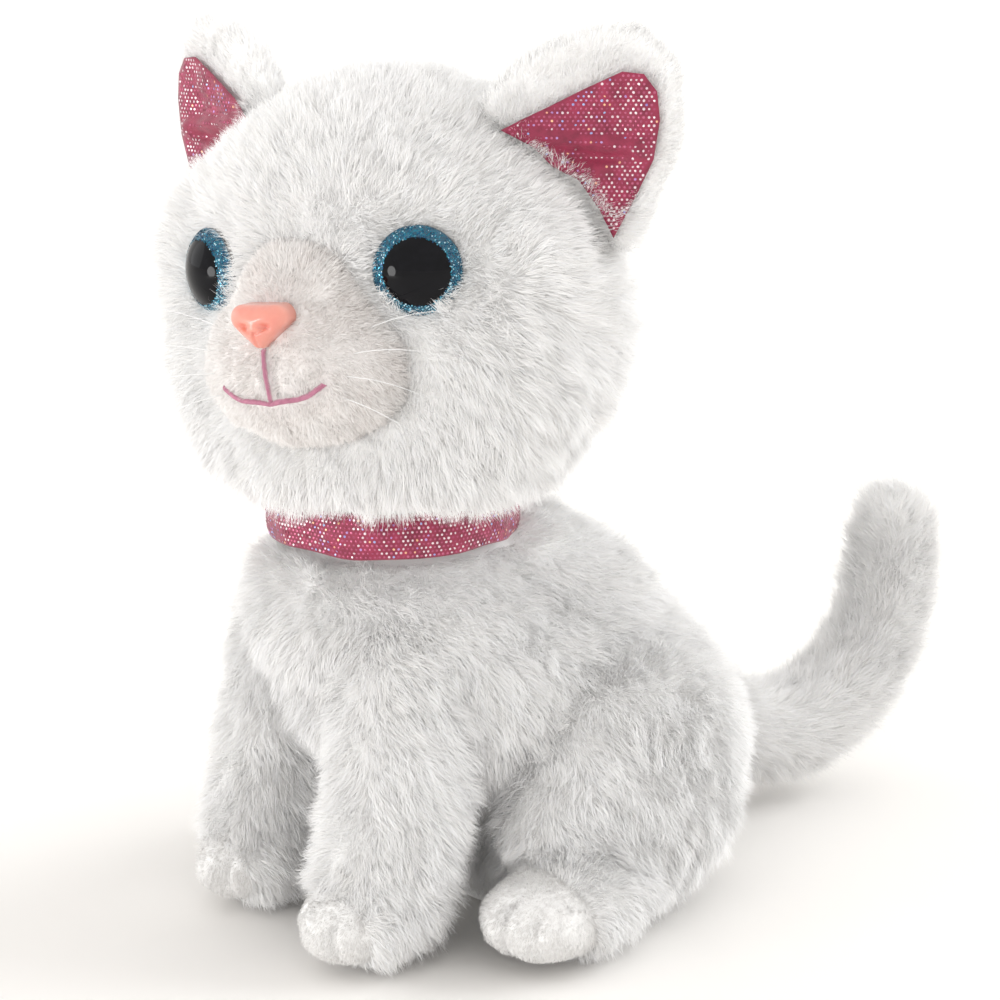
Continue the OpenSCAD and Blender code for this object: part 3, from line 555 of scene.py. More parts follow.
def make_torso():
    mesh = skin("torso_plush_skin", [TORSO, UPPER_BACK, SHOULDERS], -4.4,
                sculpt=lambda v: floor_flat(v, 4.4))
    sewn("torso_skin", "torso_plush", "torso", mesh)
    legs = [FRONT_LEG, mirrored(FAR_LEG), HAUNCH, mirrored(HAUNCH)]

    def keep(p, n):
        hidden = over_case(p) | (np.hypot(p[:, 0], p[:, 1]) < NECK_HOLE) & (p[:, 2] > 97)
        for pads in legs:
            hidden |= in_pads(p, pads, -7.0)
        return ~(hidden | in_pads(p, tail_pads(), -4.0))

    def length(p, n):
        chest = smooth_step(-10, -28, p[:, 1])
        near_collar = smooth_step(88, 97, p[:, 2])
        return 7.4 + 1.0 * chest - 2.4 * near_collar

    pile("torso_pile", "torso", mesh, TORSO_DENSITY, length, body_flow, 11, keep=keep)


def outside_torso(p, n):
    """True for the roots of a leg's pile that the torso doesn't bury."""
    return ~in_pads(p, TORSO, -9.0) & (p[:, 2] > 2.0)


def paw_cap(p, y_front, z_top):
    """1 on the short-piled front of a paw, 0 behind it."""
    return smooth_step(y_front + 6, y_front - 2, p[:, 1] + 0.25 * (p[:, 2] - 12)) * smooth_step(
        z_top + 5, z_top - 2, p[:, 2]
    )


def toe_lines(v, centre_x, y_front, spread, depth):
    """Presses two lines between the toes into the front of a paw."""
    out = v.copy()
    for s in (-1, 1):
        away = np.abs(v[:, 0] - centre_x - s * spread)
        near = bell(away, 1.7) * smooth_step(y_front + 15, y_front + 4, v[:, 1])
        near *= smooth_step(24, 18, v[:, 2])
        out[:, 1] += depth * near
    return out


def make_leg(leg, side, limbs, toes, skin_at, cap_at, lengths, flow, seed):
    """A front or hind leg with its paw: skin, long pile, and short pile on the toes.

    toes are toe_lines' numbers, skin_at the skin's depth and voxel, cap_at paw_cap's numbers,
    and lengths the long pile's and what it loses toward the cap.
    """
    node, (full, less) = f"{leg}_leg_{side}", lengths
    mesh = skin(node + "_skin", limbs, *skin_at,
                sculpt=lambda v: floor_flat(toe_lines(v, *toes), 1.2))
    sewn(node + "_form", node, "torso", mesh)

    def length(p, n):
        cap = paw_cap(p, *cap_at)
        return (full - less * cap) * (cap < 0.7)

    def on_cap(p, n):
        return (paw_cap(p, *cap_at) > 0.35) & (p[:, 2] > 1.5)

    pile(node + "_pile", "torso", mesh, LIMB_DENSITY, length, flow, seed, keep=outside_torso)
    pile(f"{leg}_paw_{side}_velour", "torso", mesh, TOE_DENSITY, even(1.5),
         steady(0.0, -0.4, -1.0), seed + 3, lean=0.85, width=0.16, clump=1.6, gather=0.25,
         frizz=0.16, keep=on_cap, sink=0.15, swirl=0.2, tones=SHADED_TOE_PILE)


def make_legs(side, sign):
    pads = FRONT_LEG if sign > 0 else mirrored(FAR_LEG)
    x, y, _, _, deep, _ = pads[-1]
    make_leg("front", side, [pads], (x, y - deep, 5.6, 4.2), (-3.6, 1.9), FRONT_CAP,
             (7.6, 5.4), steady(0.0, 0.22, -1.0), 31 if sign > 0 else 41)
    limbs = [HAUNCH, HIND_FOOT] if sign > 0 else [mirrored(HAUNCH), mirrored(HIND_FOOT)]
    make_leg("hind", side, limbs, (sign * 61, -14, 3.6, 3.4), (-3.8, 2.0), HIND_CAP,
             (7.8, 5.6), steady(0.3 * sign, -0.25, -1.0), 51 if sign > 0 else 61)


def make_tail():
    pads = tail_pads()
    mesh = skin("tail_plush_skin", [pads], -3.4, 2.0)
    sewn("tail_skin", "tail_plush", "tail", mesh)
    line = np.array([p[:3] for p in pads], float)

    def flow(p, n):
        d = norm(p[:, None] - line[None], axis=2)
        k = np.clip(d.argmin(1), 0, len(line) - 2)
        return line[k + 1] - line[k]

    def keep(p, n):
        return ~in_pads(p, TORSO, -8.0) & (p[:, 1] > 99)

    pile("tail_pile", "tail", mesh, LIMB_DENSITY, even(7.6), flow, 71, lean=0.55, keep=keep)


# ---- the head ----


def eye_gap(p):
    """Distance in millimetres from the nearer eye's middle."""
    q = tilted(p, -1)
    return np.minimum(norm(q - EYE, axis=1), norm(q - EYE * [-1, 1, 1], axis=1))


def make_head():
    def sculpt(v):
        n = unit(v - np.array([0, 3, 158]))
        v -= n * (4.6 * bell(eye_gap(v), 10.5))[:, None]
        away = norm((v - np.array([0, -46, 166])) / [17, 14, 14], axis=1)
        v -= n * (2.0 * bell(away, 1))[:, None]
        cheek = bell(v[:, 2] - 143, 17) * smooth_step(18, 45, np.abs(v[:, 0]))
        temple = bell(v[:, 2] - 175, 17) * smooth_step(36, 50, np.abs(v[:, 0]))
        temple *= smooth_step(2, -14, v[:, 1])
        v += n * (2.6 * cheek + 6.0 * temple)[:, None]
        return v

    mesh = skin("head_plush_skin", [HEAD, JAW, NECK_PLUG], -4.2, 2.4, sculpt=sculpt)
    sewn("head_skin", "head_plush", "head", mesh, head_place)

    def length(p, n):
        crown = smooth_step(178, 205, p[:, 2])
        cheek = smooth_step(22, 46, np.abs(p[:, 0])) * smooth_step(178, 160, p[:, 2])
        jaw = smooth_step(134, 116, p[:, 2]) * (1 + 0.7 * wave_noise(p, 9.0, 21))
        long = 6.6 - 1.4 * crown + 1.8 * cheek + 1.8 * jaw
        face = 0.35 * smooth_step(26, 15, eye_gap(p)) + smooth_step(12, 3, muzzle_gap(p))
        bridge = bell(np.abs(p[:, 0]) - 13, 7) * smooth_step(158, 166, p[:, 2])
        bridge *= smooth_step(188, 178, p[:, 2]) * smooth_step(-30, -38, p[:, 1])
        return np.maximum(long - 2.4 * np.clip(face, 0, 1), 2.6) + 2.4 * bridge

    def flow(p, n):
        f = unit(p - np.array([0, -52, 163]))
        f[:, 2] -= 0.35 + 1.6 * smooth_step(165, 120, p[:, 2])
        f[:, 1] += 0.35
        return f

    def keep(p, n):
        low = (np.hypot(p[:, 0], p[:, 1]) < NECK_HOLE) & (p[:, 2] < 118)
        inside = in_pads(tilted(p, -1), MUZZLE, -1.8)
        return ~(low | (eye_gap(p) < 9.0) | inside)

    def beside_eye(p, n):
        """Below each eye, and on the bridge beside the far one."""
        q = tilted(p, -1)
        gap = eye_gap(p)
        out, up = np.abs(q[:, 0]) - EYE[0], q[:, 2] - EYE[2]
        angle = np.degrees(np.arctan2(up, out))
        low = (np.abs(angle + 140) < 26) | (np.abs(angle + 40) < 24)
        inner = (q[:, 0] < 0) & (np.abs(angle) > 118)
        ragged = 11.8 + 1.3 * wave_noise(p, 4.0, 5)
        return (low | inner) & (gap > 9.3) & (gap < ragged) & (muzzle_gap(p) > 1.0)

    def toward_eye(p, n):
        q = tilted(p, -1)
        middle = EYE * np.stack([np.sign(q[:, 0]), np.ones(len(q)), np.ones(len(q))], 1)
        return middle - q + [0, -7.0, 0]

    pile("eye_tufts", "head", mesh, TUFT_DENSITY, even(6.6), toward_eye, 85, lean=0.78,
         width=0.17, clump=2.4, gather=0.6, frizz=0.5, keep=beside_eye, place=head_place,
         swirl=0.2)
    pile("head_pile", "head", mesh, HEAD_DENSITY, length, flow, 81, keep=keep, place=head_place)


def muzzle_gap(p):
    """Rough distance outside the muzzle, in millimetres."""
    p = tilted(p, -1)
    gap = np.full(len(p), 1e9)
    for m in MUZZLE:
        q = norm((p - np.array(m[:3])) / np.array(m[3:]), axis=1)
        gap = np.minimum(gap, (q - 1) * min(m[3:]))
    return gap


def muzzle_y(x, z):
    """Front of the muzzle's main pad over x and z."""
    m = MUZZLE[0]
    inside = 1 - ((x - m[0]) / m[3]) ** 2 - ((z - m[2]) / m[5]) ** 2
    return m[1] - m[4] * np.sqrt(np.maximum(inside, 0.0))


def lip_height(x):
    """Height of the mouth's line over x."""
    return 141.0 + 0.019 * x * x + 0.35 * np.sin(np.abs(x) * 0.5) + 0.05 * x


def cleft_x(z):
    """The stitched line from the nose down to the lip leans a little to one side."""
    return -0.06 * (z - MUZZLE[0][2])


def make_muzzle():
    def sculpt(v):
        front = smooth_step(-44, -52, v[:, 1])
        below = smooth_step(158, 150, v[:, 2]) * smooth_step(132, 140, v[:, 2])
        v[:, 1] += 1.3 * bell(v[:, 0], 1.8) * front * below
        v += unit(v - np.array([0, -36, 148])) * (0.35 * wave_noise(v, 15.0, 33))[:, None]
        under_nose = np.exp(-((v[:, 0] / 8) ** 2) - ((v[:, 2] - NOSE[2]) / 6) ** 2)
        v[:, 1] -= 2.8 * under_nose * front
        return v

    mesh = skin("muzzle_skin", [MUZZLE], -1.2, 1.6, 6, sculpt=sculpt)
    sewn("muzzle_form", "muzzle_plush", "head", mesh, face_place,
         cloth=SHADED_MUZZLE_BACKING)

    def length(p, n):
        side, high = smooth_step(12, 26, np.abs(p[:, 0])), smooth_step(160, 176, p[:, 2])
        return 2.2 + 1.0 * side + 0.8 * high

    def flow(p, n):
        f = unit(p - np.array([0, -58, 158]))
        f[:, 2] -= 0.3
        return f

    def keep(p, n):
        x, y, z = p.T
        near_nose = (np.abs(x) < 4.4) & (np.abs(z - NOSE[2]) < 3.2) & (y < -48)
        on_lip = (np.abs(z - lip_height(x)) < 0.75) & (np.abs(x) < 14.4)
        on_cleft = (np.abs(x - cleft_x(z)) < 0.75) & (z > 141) & (z < 154)
        sewn_down = (on_lip | on_cleft) & (y < -44)
        return ~near_nose & ~sewn_down & ~in_pads(tilted(p, 1), HEAD, -5.0)

    pile("muzzle_velour", "head", mesh, MUZZLE_DENSITY, length, flow, 91, lean=0.6,
         width=0.18, clump=2.3, gather=0.5, frizz=0.4, keep=keep, place=face_place,
         sink=0.2, tones=SHADED_MUZZLE_PILE)


def ear_point(x, z, n=0.0):
    """Points of the left ear from its own x, z and height n over its middle plane."""
    x, z = np.asarray(x, float), np.asarray(z, float)
    n = np.broadcast_to(np.asarray(n, float), x.shape)
    y = -6 + (x - 34) * math.tan(EAR_SPLAY) - n * math.cos(EAR_SPLAY)
    return np.stack([x + n * math.sin(EAR_SPLAY), y, z], 1)


def sides_of(outline):
    """The two ends of each side of a closed outline."""
    pts = np.array(outline, float)
    return list(zip(pts, np.roll(pts, -1, 0)))


def edge_gap(xz, outline):
    """Distance in millimetres from points to a closed outline."""
    best = np.full(len(xz), 1e9)
    for a, b in sides_of(outline):
        t = np.clip(((xz - a) @ (b - a)) / ((b - a) @ (b - a)), 0, 1)
        best = np.minimum(best, norm(xz - a - t[:, None] * (b - a), axis=1))
    return best


def inside_outline(xz, outline):
    odd = np.zeros(len(xz), bool)
    for a, b in sides_of(outline):
        crosses = (a[1] > xz[:, 1]) != (b[1] > xz[:, 1])
        at = a[0] + (xz[:, 1] - a[1]) / (b[1] - a[1] + 1e-12) * (b[0] - a[0])
        odd ^= crosses & (xz[:, 0] < at)
    return odd


def lining_height(xz):
    """The shiny cloth dips in the middle of the ear and has folds across it."""
    d = edge_gap(xz, LINING_OUTLINE)
    x, z = xz.T
    inner = smooth_step(0, 4, d)
    h = 3.6 - 1.2 * smooth_step(0, 9, d) + 1.7 * smooth_step(43, 35, x)
    main = (z - 198.5) + 0.12 * (x - 55)
    for rise, line, wide, share in (
        (2.0, main, 1.5, 1.0),
        (-1.1, main + 3.4, 1.5, 1.0),
        (1.3, (z - 193.5) - 0.3 * (x - 58), 1.3, smooth_step(46, 54, x)),
        (0.5, (z - 206) - 0.5 * (x - 54), 1.6, 1.0),
    ):
        h += rise * bell(line, wide) * inner * share
    h += 0.3 * np.sin(x * 0.55 + z * 0.25) * np.sin(z * 0.33 - x * 0.2) * inner
    return h


def foil_dots(name, centres, normals, radius, seed):
    """Small domed foil dots on a cloth, each tipped a little its own way."""
    rng = np.random.default_rng(seed)
    n = unit(normals + rng.normal(scale=0.16, size=normals.shape))
    u = unit(np.cross(n, np.array([0.31, 0.2, 0.93])))
    w = np.cross(n, u)
    ring = turns(8)
    size = radius * rng.uniform(0.85, 1.12, len(n))
    rim = centres[:, None] + size[:, None, None] * spokes(u, w, ring) + 0.03 * n[:, None]
    top = centres + n * 0.11
    verts = np.concatenate([top[:, None], rim], 1).reshape(-1, 3)
    faces = repeated([(0, k + 1, (k + 1) % 8 + 1) for k in range(8)], len(n), 9)
    drift = wave_noise(centres, 26.0, seed) * 0.5 + rng.normal(scale=0.35, size=len(n))
    order = np.argsort(np.argsort(drift)) / max(1, len(n) - 1)
    kind = np.searchsorted(np.cumsum(FOIL_SHARES)[:-1], order)
    return mesh_of(name, verts, faces, np.repeat(kind, 8))


def doubled(verts, faces, normals, thick):
    """Closes an open sheet by adding its back face and its edge."""
    n = len(verts)
    back = verts - normals * thick
    edges = [(f[k], f[(k + 1) % 3]) for f in faces for k in range(3)]
    known = set(edges)
    rim = [(a, b) for a, b in edges if (b, a) not in known]
    side = [(b, a, a + n) for a, b in rim] + [(b, a + n, b + n) for a, b in rim]
    return np.concatenate([verts, back]), np.concatenate([faces, faces[:, ::-1] + n, side])


def make_ear(side, sign):
    half = (EAR_HALF, EAR_HALF, EAR_HALF)
    pads = [(*ear_point([x], [z], -EAR_BACK)[0], *half) for x, z in EAR_OUTLINE]
    cloud = np.concatenate([ball_points(p, 0, 90) for p in pads])
    form = stuffed(f"ear_{side}_skin", [cloud], voxel=1.3, rounds=6)

    def place(p):
        return head_place(p * [sign, 1, 1] + [0.0 if sign > 0 else 2.5, 0, 0])

    ear = sewn(f"ear_{side}_form", f"ear_{side}", "head", form, place)

    def low_edge(p):
        return smooth_step(3, -3, p[:, 2] - 195 - 0.15 * (p[:, 0] - 45) + 0.9 * (p[:, 0] - 50))

    def length(p, n):
        front = smooth_step(0.2, 0.8, n @ EAR_FACING)
        return 4.4 - 0.8 * front + 2.2 * front * low_edge(p)

    def keep(p, n):
        xz = p[:, [0, 2]]
        covered = inside_outline(xz, LINING_OUTLINE) & (n @ EAR_FACING > 0.3)
        margin = 0.8 + 0.8 * low_edge(p) * (1 + wave_noise(p, 5.0, 3))
        covered &= edge_gap(xz, LINING_OUTLINE) > margin
        return ~covered & ~in_pads(p, HEAD, -7.0)

    def flow(p, n):
        return 0.6 * unit(p - np.array([52, 2, 196])) + np.array([0.45, 0.1, 0.7])

    seed = 101 if sign > 0 else 111
    pile(f"ear_{side}_pile", "head", form, EAR_DENSITY, length, flow, seed, lean=0.85,
         width=0.18, clump=3.0, gather=0.28, frizz=0.35, keep=keep, place=place, swirl=0.2)

    def on_low_edge(p, n):
        gap = edge_gap(p[:, [0, 2]], LINING_OUTLINE)
        low = (low_edge(p) > 0.3) & (gap < 1.3 + 0.8 * wave_noise(p, 4.0, 9)) & (p[:, 2] > 181)
        return (n @ EAR_FACING > 0.2) & low & ~in_pads(p, HEAD, -7.0)

    pile(f"ear_{side}_fringe", "head", form, FRINGE_DENSITY, even(5.2),
         steady(0.75, 0.0, 0.65), seed + 7, lean=0.6, width=0.18, clump=2.6, gather=0.6,
         frizz=0.5, keep=on_low_edge, place=place, swirl=0.25)
    make_lining(side, place, seed + 5)


def make_lining(side, place, seed):
    """The foil-dotted cloth of one ear: a thin closed sheet, and the dots on its face."""
    grid = np.array([
        (x + (i % 2) * FOIL_PITCH / 2, z)
        for i, z in enumerate(np.arange(176, 221, FOIL_ROW))
        for x in np.arange(36, 72, FOIL_PITCH)
    ])
    grid = grid[inside_outline(grid, LINING_OUTLINE) & (edge_gap(grid, LINING_OUTLINE) > 0.5)]
    share = np.linspace(0, 1, 8, endpoint=False)[:, None]
    ring = np.concatenate([a + (b - a) * share for a, b in sides_of(LINING_OUTLINE)])
    flat = [Vector(q) for q in np.concatenate([ring, grid])]
    edges = [(k, (k + 1) % len(ring)) for k in range(len(ring))]
    pts, _, tris, *_ = geometry.delaunay_2d_cdt(flat, edges, [], 1, 1e-5)
    xz = np.array([tuple(q) for q in pts])
    faces = np.array([tuple(f) for f in tris])
    verts = ear_point(*xz.T, lining_height(xz))
    _, _, n = surface(mesh_of("lining_tmp", verts, faces))
    if (n @ EAR_FACING).mean() < 0:
        faces, n = faces[:, ::-1], -n
    closed, shell = doubled(verts, faces, n, 0.5)
    cloth = link(f"ear_lining_{side}_cloth", mesh_of("lining", place(closed), shell))
    dress(cloth, [CLOTH], "head", f"ear_lining_{side}")
    area = norm(crosses(verts, faces), axis=1).sum() / 2e6
    size = (xz.max(0) - xz.min(0)) / 1000
    flat = (float(size[0] / math.cos(EAR_SPLAY)), float(size[1]))
    dots = ear_point(*grid.T, lining_height(grid) + 0.02)
    step = 0.2
    gx, gz = (
        lining_height(grid + d) - lining_height(grid - d)
        for d in np.array([[step, 0], [0, step]])
    )
    up = np.array([0, 0, 1])
    tilt = EAR_FACING - EAR_ACROSS * (gx / 2 / step)[:, None] - up * (gz / 2 / step)[:, None]
    # painted shade: the dots are left off the steep sides of the folds, so the dark crimson ground shows there as
    # it would where foil catches no light
    shade_in_folds = np.hypot(gx, gz) / (2 * step) > 0.75 + 0.25 * wave_noise(dots, 3.0, seed)
    dots, tilt = dots[~shade_in_folds], tilt[~shade_in_folds]
    moved = place(dots)
    turned = unit(place(dots + tilt) - moved)
    name = f"ear_lining_{side}_dots"
    foil = foil_dots(name, moved, turned, FOIL_R, seed)
    dress(link(name, foil), FOILS, "head")


# ---- eyes, nose, mouth, whiskers ----


def eye_frame(sign):
    """Function from eye-local points (z along the eye's axis) to kitten millimetres."""
    out = np.array([math.sin(EYE_SPLAY), -math.cos(EYE_SPLAY), 0.0])
    side = np.array([math.cos(EYE_SPLAY), math.sin(EYE_SPLAY), 0.0])
    up = np.array([0.0, 0.0, 1.0])

    def place(p):
        q = EYE + p[:, :1] * side + p[:, 1:2] * up + p[:, 2:] * out
        return face_place(q * [sign, 1, 1])

    return place


def dome_height(r):
    return -DOME_SINK + np.sqrt(np.maximum(DOME_R**2 - r * r, 0.0))


def make_eye(side, sign):
    place = eye_frame(sign)
    radii = np.concatenate([[0.0], np.linspace(0.8, EYE_R - 0.25, 22), [EYE_R, EYE_R, EYE_R - 2]])
    heights = dome_height(radii)
    heights[-2:] = (-0.9, -1.4)
    around = 72
    angle = turns(around)
    verts, faces, slots = [[0, 0, heights[0]]], [], []
    for r, h in zip(radii[1:], heights[1:]):
        verts += [[r * math.cos(a), r * math.sin(a), h] for a in angle]
    for k in range(around):
        faces.append((0, 1 + k, 1 + (k + 1) % around))
        slots.append(0)
    for i in range(len(radii) - 2):
        for k in range(around):
            a, b = 1 + i * around + k, 1 + i * around + (k + 1) % around
            c, d = a + around, b + around
            mid = (radii[i + 1] + radii[i + 2]) / 2
            kind = 0 if mid < PUPIL_R or mid > EYE_R - 0.1 else 1
            faces += [(a, c, d), (a, d, b)]
            slots += [kind, kind]
    mesh = mesh_of(f"eye_{side}_dome", place(np.array(verts, float)), faces, slots)
    if sign < 0:
        mesh.flip_normals()
    dome = link(f"eye_{side}_dome", mesh)
    dress(dome, [PUPIL, IRIS], "head", f"eye_{side}")
    rng = np.random.default_rng(7 if sign > 0 else 8)
    count = 1500
    r = np.sqrt(rng.uniform((PUPIL_R - 0.15) ** 2, (EYE_R - 0.2) ** 2, count))
    a = rng.uniform(0, 2 * math.pi, count)
    at = polar(r, a, dome_height(r) + 0.03)
    n = unit(at + [0, 0, DOME_SINK] + rng.normal(scale=0.25 * DOME_R, size=at.shape))
    u = unit(np.cross(n, rng.normal(size=n.shape)))
    w = np.cross(n, u)
    six = turns(6)
    size = rng.uniform(0.11, 0.24, count)[:, None, None]
    rim = at[:, None] + size * spokes(u, w, six)
    faces = repeated([(0, 1, 2), (0, 2, 3), (0, 3, 4), (0, 4, 5)], count, 6)
    bright = rng.random(count) < 0.36 - 0.3 * np.sin(a)
    kind = np.where(
        bright, rng.choice((1, 3), count, p=(0.6, 0.4)), rng.choice((0, 2), count, p=(0.62, 0.38))
    )
    name, rim = f"eye_{side}_glitter", place(rim.reshape(-1, 3))
    flakes = mesh_of(name, rim, faces, np.repeat(kind, 4), smooth=False)
    dress(link(name, flakes), GLITTERS, "head")


def face_piece(name, verts, faces, material, slot, node):
    """A piece of the face that rides on the head, from arrays in face-local millimetres."""
    obj = link(name, mesh_of(name, verts, faces), face_place)
    dress(obj, [material], "head", node)


def ring_faces(rows, around, start=0):
    """Triangles between each closed row of points and the next."""
    faces = []
    for i in range(rows):
        for k in range(around):
            a, b = start + i * around + k, start + i * around + (k + 1) % around
            faces += [(a, b, b + around), (a, b + around, a + around)]
    return faces


def make_nose():
    """Rounded triangle with two nostrils and a groove down to the lip."""
    lobes = np.array([(-4.3, 2.0, 2.9), (4.3, 2.0, 2.9), (0.0, -3.4, 1.8)])
    circles = [
        a + (b - a) * t
        for i, a in enumerate(lobes)
        for b in lobes[i:]
        for t in np.linspace(0, 1, 17)
    ]
    around, rings = 96, 26
    outline = []
    for a in turns(around):
        d = np.array([math.cos(a), math.sin(a)])
        side = np.array([-d[1], d[0]])
        # how far the ray reaches inside circles that grow from one lobe to another
        best = 0.0
        for circle in circles:
            c, r = circle[:2], circle[2]
            off = c @ side
            if abs(off) < r:
                best = max(best, c @ d + math.sqrt(r * r - off * off))
        outline.append(best * d)
    outline = np.array(outline)
    scale = np.sin(np.linspace(0, 1, rings) * math.pi / 2)
    verts = [[0.0, 0.0]]
    for s in scale[1:]:
        verts += list(outline * s)
    x, z = np.array(verts).T
    share = np.concatenate([[0.0], np.repeat(scale[1:], around)])
    height = 3.6 * np.sqrt(np.maximum(1 - share**2.4, 0))
    height *= 1 - 0.25 * smooth_step(0, -5, z)
    for s in (-1, 1):
        away = np.hypot((x - s * 2.9) / 1.5, (z - 0.2) / 0.85)
        height -= 1.7 * bell(away, 1)
        t = np.clip((x * s) / 3.0, 0, 1)
        curve = -1.3 + 1.2 * t * t
        near = bell(z - curve, 0.45) * smooth_step(3.4, 2.6, x * s)
        height -= 0.6 * near * (x * s >= 0)
    height -= 0.7 * bell(x, 0.45) * smooth_step(-0.9, -1.6, z)
    verts3 = np.stack([x, NOSE[1] - 0.6 - height, NOSE[2] + z], 1)
    back = verts3[-around:] + [0, 4.5, 0]
    verts3 = np.concatenate([verts3, back, [[0, back[:, 1].mean(), NOSE[2]]]])
    faces = [(0, 1 + (k + 1) % around, 1 + k) for k in range(around)]
    faces += ring_faces(rings - 1, around, start=1)
    last = len(verts3) - 1
    faces += [(last, last - around + k, last - around + (k + 1) % around) for k in range(around)]
    face_piece("nose_form", verts3, faces, NOSE_PINK, "nose_plastic", "nose")


def tube(points, radii, sides=6):
    """(vertices, faces) of a closed round tube through points."""
    points = np.asarray(points, float)
    d = unit(np.gradient(points, axis=0))
    u = unit(np.cross(d, np.array([0.3, 0.2, 0.93])))
    w = np.cross(d, u)
    a = turns(sides)
    rings = points[:, None] + np.asarray(radii)[:, None, None] * spokes(u, w, a)
    verts = np.concatenate([rings.reshape(-1, 3), points[:1], points[-1:]])
    faces = ring_faces(len(points) - 1, sides)
    n = len(verts)
    faces += [(n - 2, (k + 1) % sides, k) for k in range(sides)]
    base = (len(points) - 1) * sides
    faces += [(n - 1, base + k, base + (k + 1) % sides) for k in range(sides)]
    return verts, np.array(faces)


def joined(pieces):
    verts, faces, start = [], [], 0
    for v, f in pieces:
        verts.append(v)
        faces.append(f + start)
        start += len(v)
    return np.concatenate(verts), np.concatenate(faces)


def along(points, gap):
    """Even steps along a line of points: positions and directions."""
    points = np.asarray(points, float)
    run = np.concatenate([[0], np.cumsum(norm(np.diff(points, axis=0), axis=1))])
    at = np.arange(0, run[-1], gap)
    pos = np.stack([np.interp(at, run, points[:, k]) for k in range(3)], 1)
    return pos, unit(np.gradient(pos, axis=0))


def make_mouth():
    """Satin stitches laid across the line of the mouth."""
    middle, half_size = np.split(np.array(MUZZLE[0], float), 2)

    def on_muzzle(x, z):
        return np.stack([x, muzzle_y(x, z) + 0.35, z], 1)

    z = np.linspace(153.5, 141.4, 20)
    lines = [on_muzzle(0.25 * np.sin((z - 140) / 3) + cleft_x(z), z)]
    for s in (-1, 1):
        x = s * np.linspace(0.2, 14.0, 30)
        lines.append(on_muzzle(x, lip_height(x)))
    rng = np.random.default_rng(5)
    stitches = []
    for line in lines:
        pos, d = along(line, 0.4)
        for p, t in zip(pos, d):
            out = (p - middle) / half_size**2
            out /= norm(out)
            across = np.cross(t, out)
            way = across * math.cos(0.5) + t * math.sin(0.5)
            half = 0.74 * rng.uniform(0.85, 1.12)
            k = np.linspace(-1, 1, 5)
            mid = p + k[:, None] * half * way + (1 - k[:, None] ** 2) * 0.34 * out
            stitches.append(tube(mid, 0.2 * (1.05 - 0.45 * k * k), 6))
    face_piece("mouth_satin_stitch", *joined(stitches), THREAD, "mauve_thread", "mouth_stitch")


def make_whiskers():
    """Four thin drooping hairs on each side of the muzzle."""
    rng = np.random.default_rng(9)
    hairs = []
    for s in (-1, 1):
        for k in range(4):
            x, z = s * (17 + 1.2 * k), 142.0 + 5 * k
            start = np.array([x, muzzle_y(x, z) + 1.0, z])
            out = np.array([s * 0.93, -0.2 + 0.05 * k, 0.18 * (k - 1.0)])
            t = np.linspace(0, 1, 14)[:, None]
            droop = np.array([0, 0.12, -0.35 * rng.uniform(0.6, 1.2)])
            line = start + 25 * t * out / norm(out) + 12 * t * t * droop
            hairs.append(tube(line, 0.13 * (1 - 0.75 * t[:, 0]), 5))
    face_piece("whisker_hairs", *joined(hairs), WHISKER, "whisker_nylon", "whiskers")


# ---- the collar ----

COLLAR_R, COLLAR_Z0, COLLAR_Z1 = 30.7, 100.2, 110.9
COLLAR_H = COLLAR_Z1 - COLLAR_Z0


def collar_radius(a, z):
    """Soft waves round the ribbon, which bows out a little at mid height."""
    t = (z - COLLAR_Z0) / COLLAR_H
    wave = 0.35 * np.sin(7 * a + 1.3 * t) + 0.22 * np.sin(13 * a + 2.0 + 3 * t)
    return COLLAR_R + wave + 0.7 * np.sin(math.pi * t) + 0.5 * (1 - t)


def collar_sag(a):
    return 0.5 * np.sin(3 * a + 0.6) + 0.3 * np.sin(8 * a)


def make_collar():
    """A folded ribbon of the foil-dotted cloth, closed round the neck."""
    around, rows = 220, 14
    a = turns(around)
    verts, thick = [], 1.0
    for layer in (0, 1):
        for i in range(rows):
            t = i / (rows - 1)
            z = COLLAR_Z0 + COLLAR_H * t + collar_sag(a) * (1 - t)
            verts.append(polar(collar_radius(a, z) - layer * thick, a, z))
    verts = np.concatenate(verts)
    faces = []
    for layer in (0, 1):
        for i in range(rows - 1):
            for k in range(around):
                start = (layer * rows + i) * around
                p, q = start + k, start + (k + 1) % around
                f = (p, q, q + around, p + around)
                faces.append(f if layer == 0 else f[::-1])
    top, inner = (rows - 1) * around, rows * around
    for k in range(around):
        q = (k + 1) % around
        faces.append((k, inner + k, inner + q, q))
        faces.append((top + k, top + q, top + inner + q, top + inner + k))
    obj = link("collar_ribbon", mesh_of("collar_ribbon", verts, faces))
    dress(obj, [CLOTH], "torso", "collar")
    count = int(2 * math.pi * COLLAR_R / FOIL_PITCH)
    spots = []
    for i, z in enumerate(np.arange(COLLAR_Z0 + 0.7, COLLAR_Z1 - 0.3, FOIL_ROW)):
        b = (np.arange(count) + 0.5 * (i % 2)) * 2 * math.pi / count
        spots.append(np.stack([b, np.full(count, z)], 1))
    spots = np.concatenate(spots)
    b, z = spots.T
    t = (z - COLLAR_Z0) / COLLAR_H
    z = z + collar_sag(b) * (1 - t)
    r = collar_radius(b, z) + 0.03
    at = polar(r, b, z)
    slope = (collar_radius(b, z + 0.2) - collar_radius(b, z - 0.2)) / 0.4
    turn = (collar_radius(b + 0.01, z) - collar_radius(b - 0.01, z)) / 0.02 / r
    n = np.stack([np.cos(b) + turn * np.sin(b), np.sin(b) - turn * np.cos(b), -slope], 1)
    dots = link("collar_dots", foil_dots("collar_dots", at, unit(n), FOIL_R, 17))
    dress(dots, FOILS, "torso")


# ---- pieces kept from the frame ----


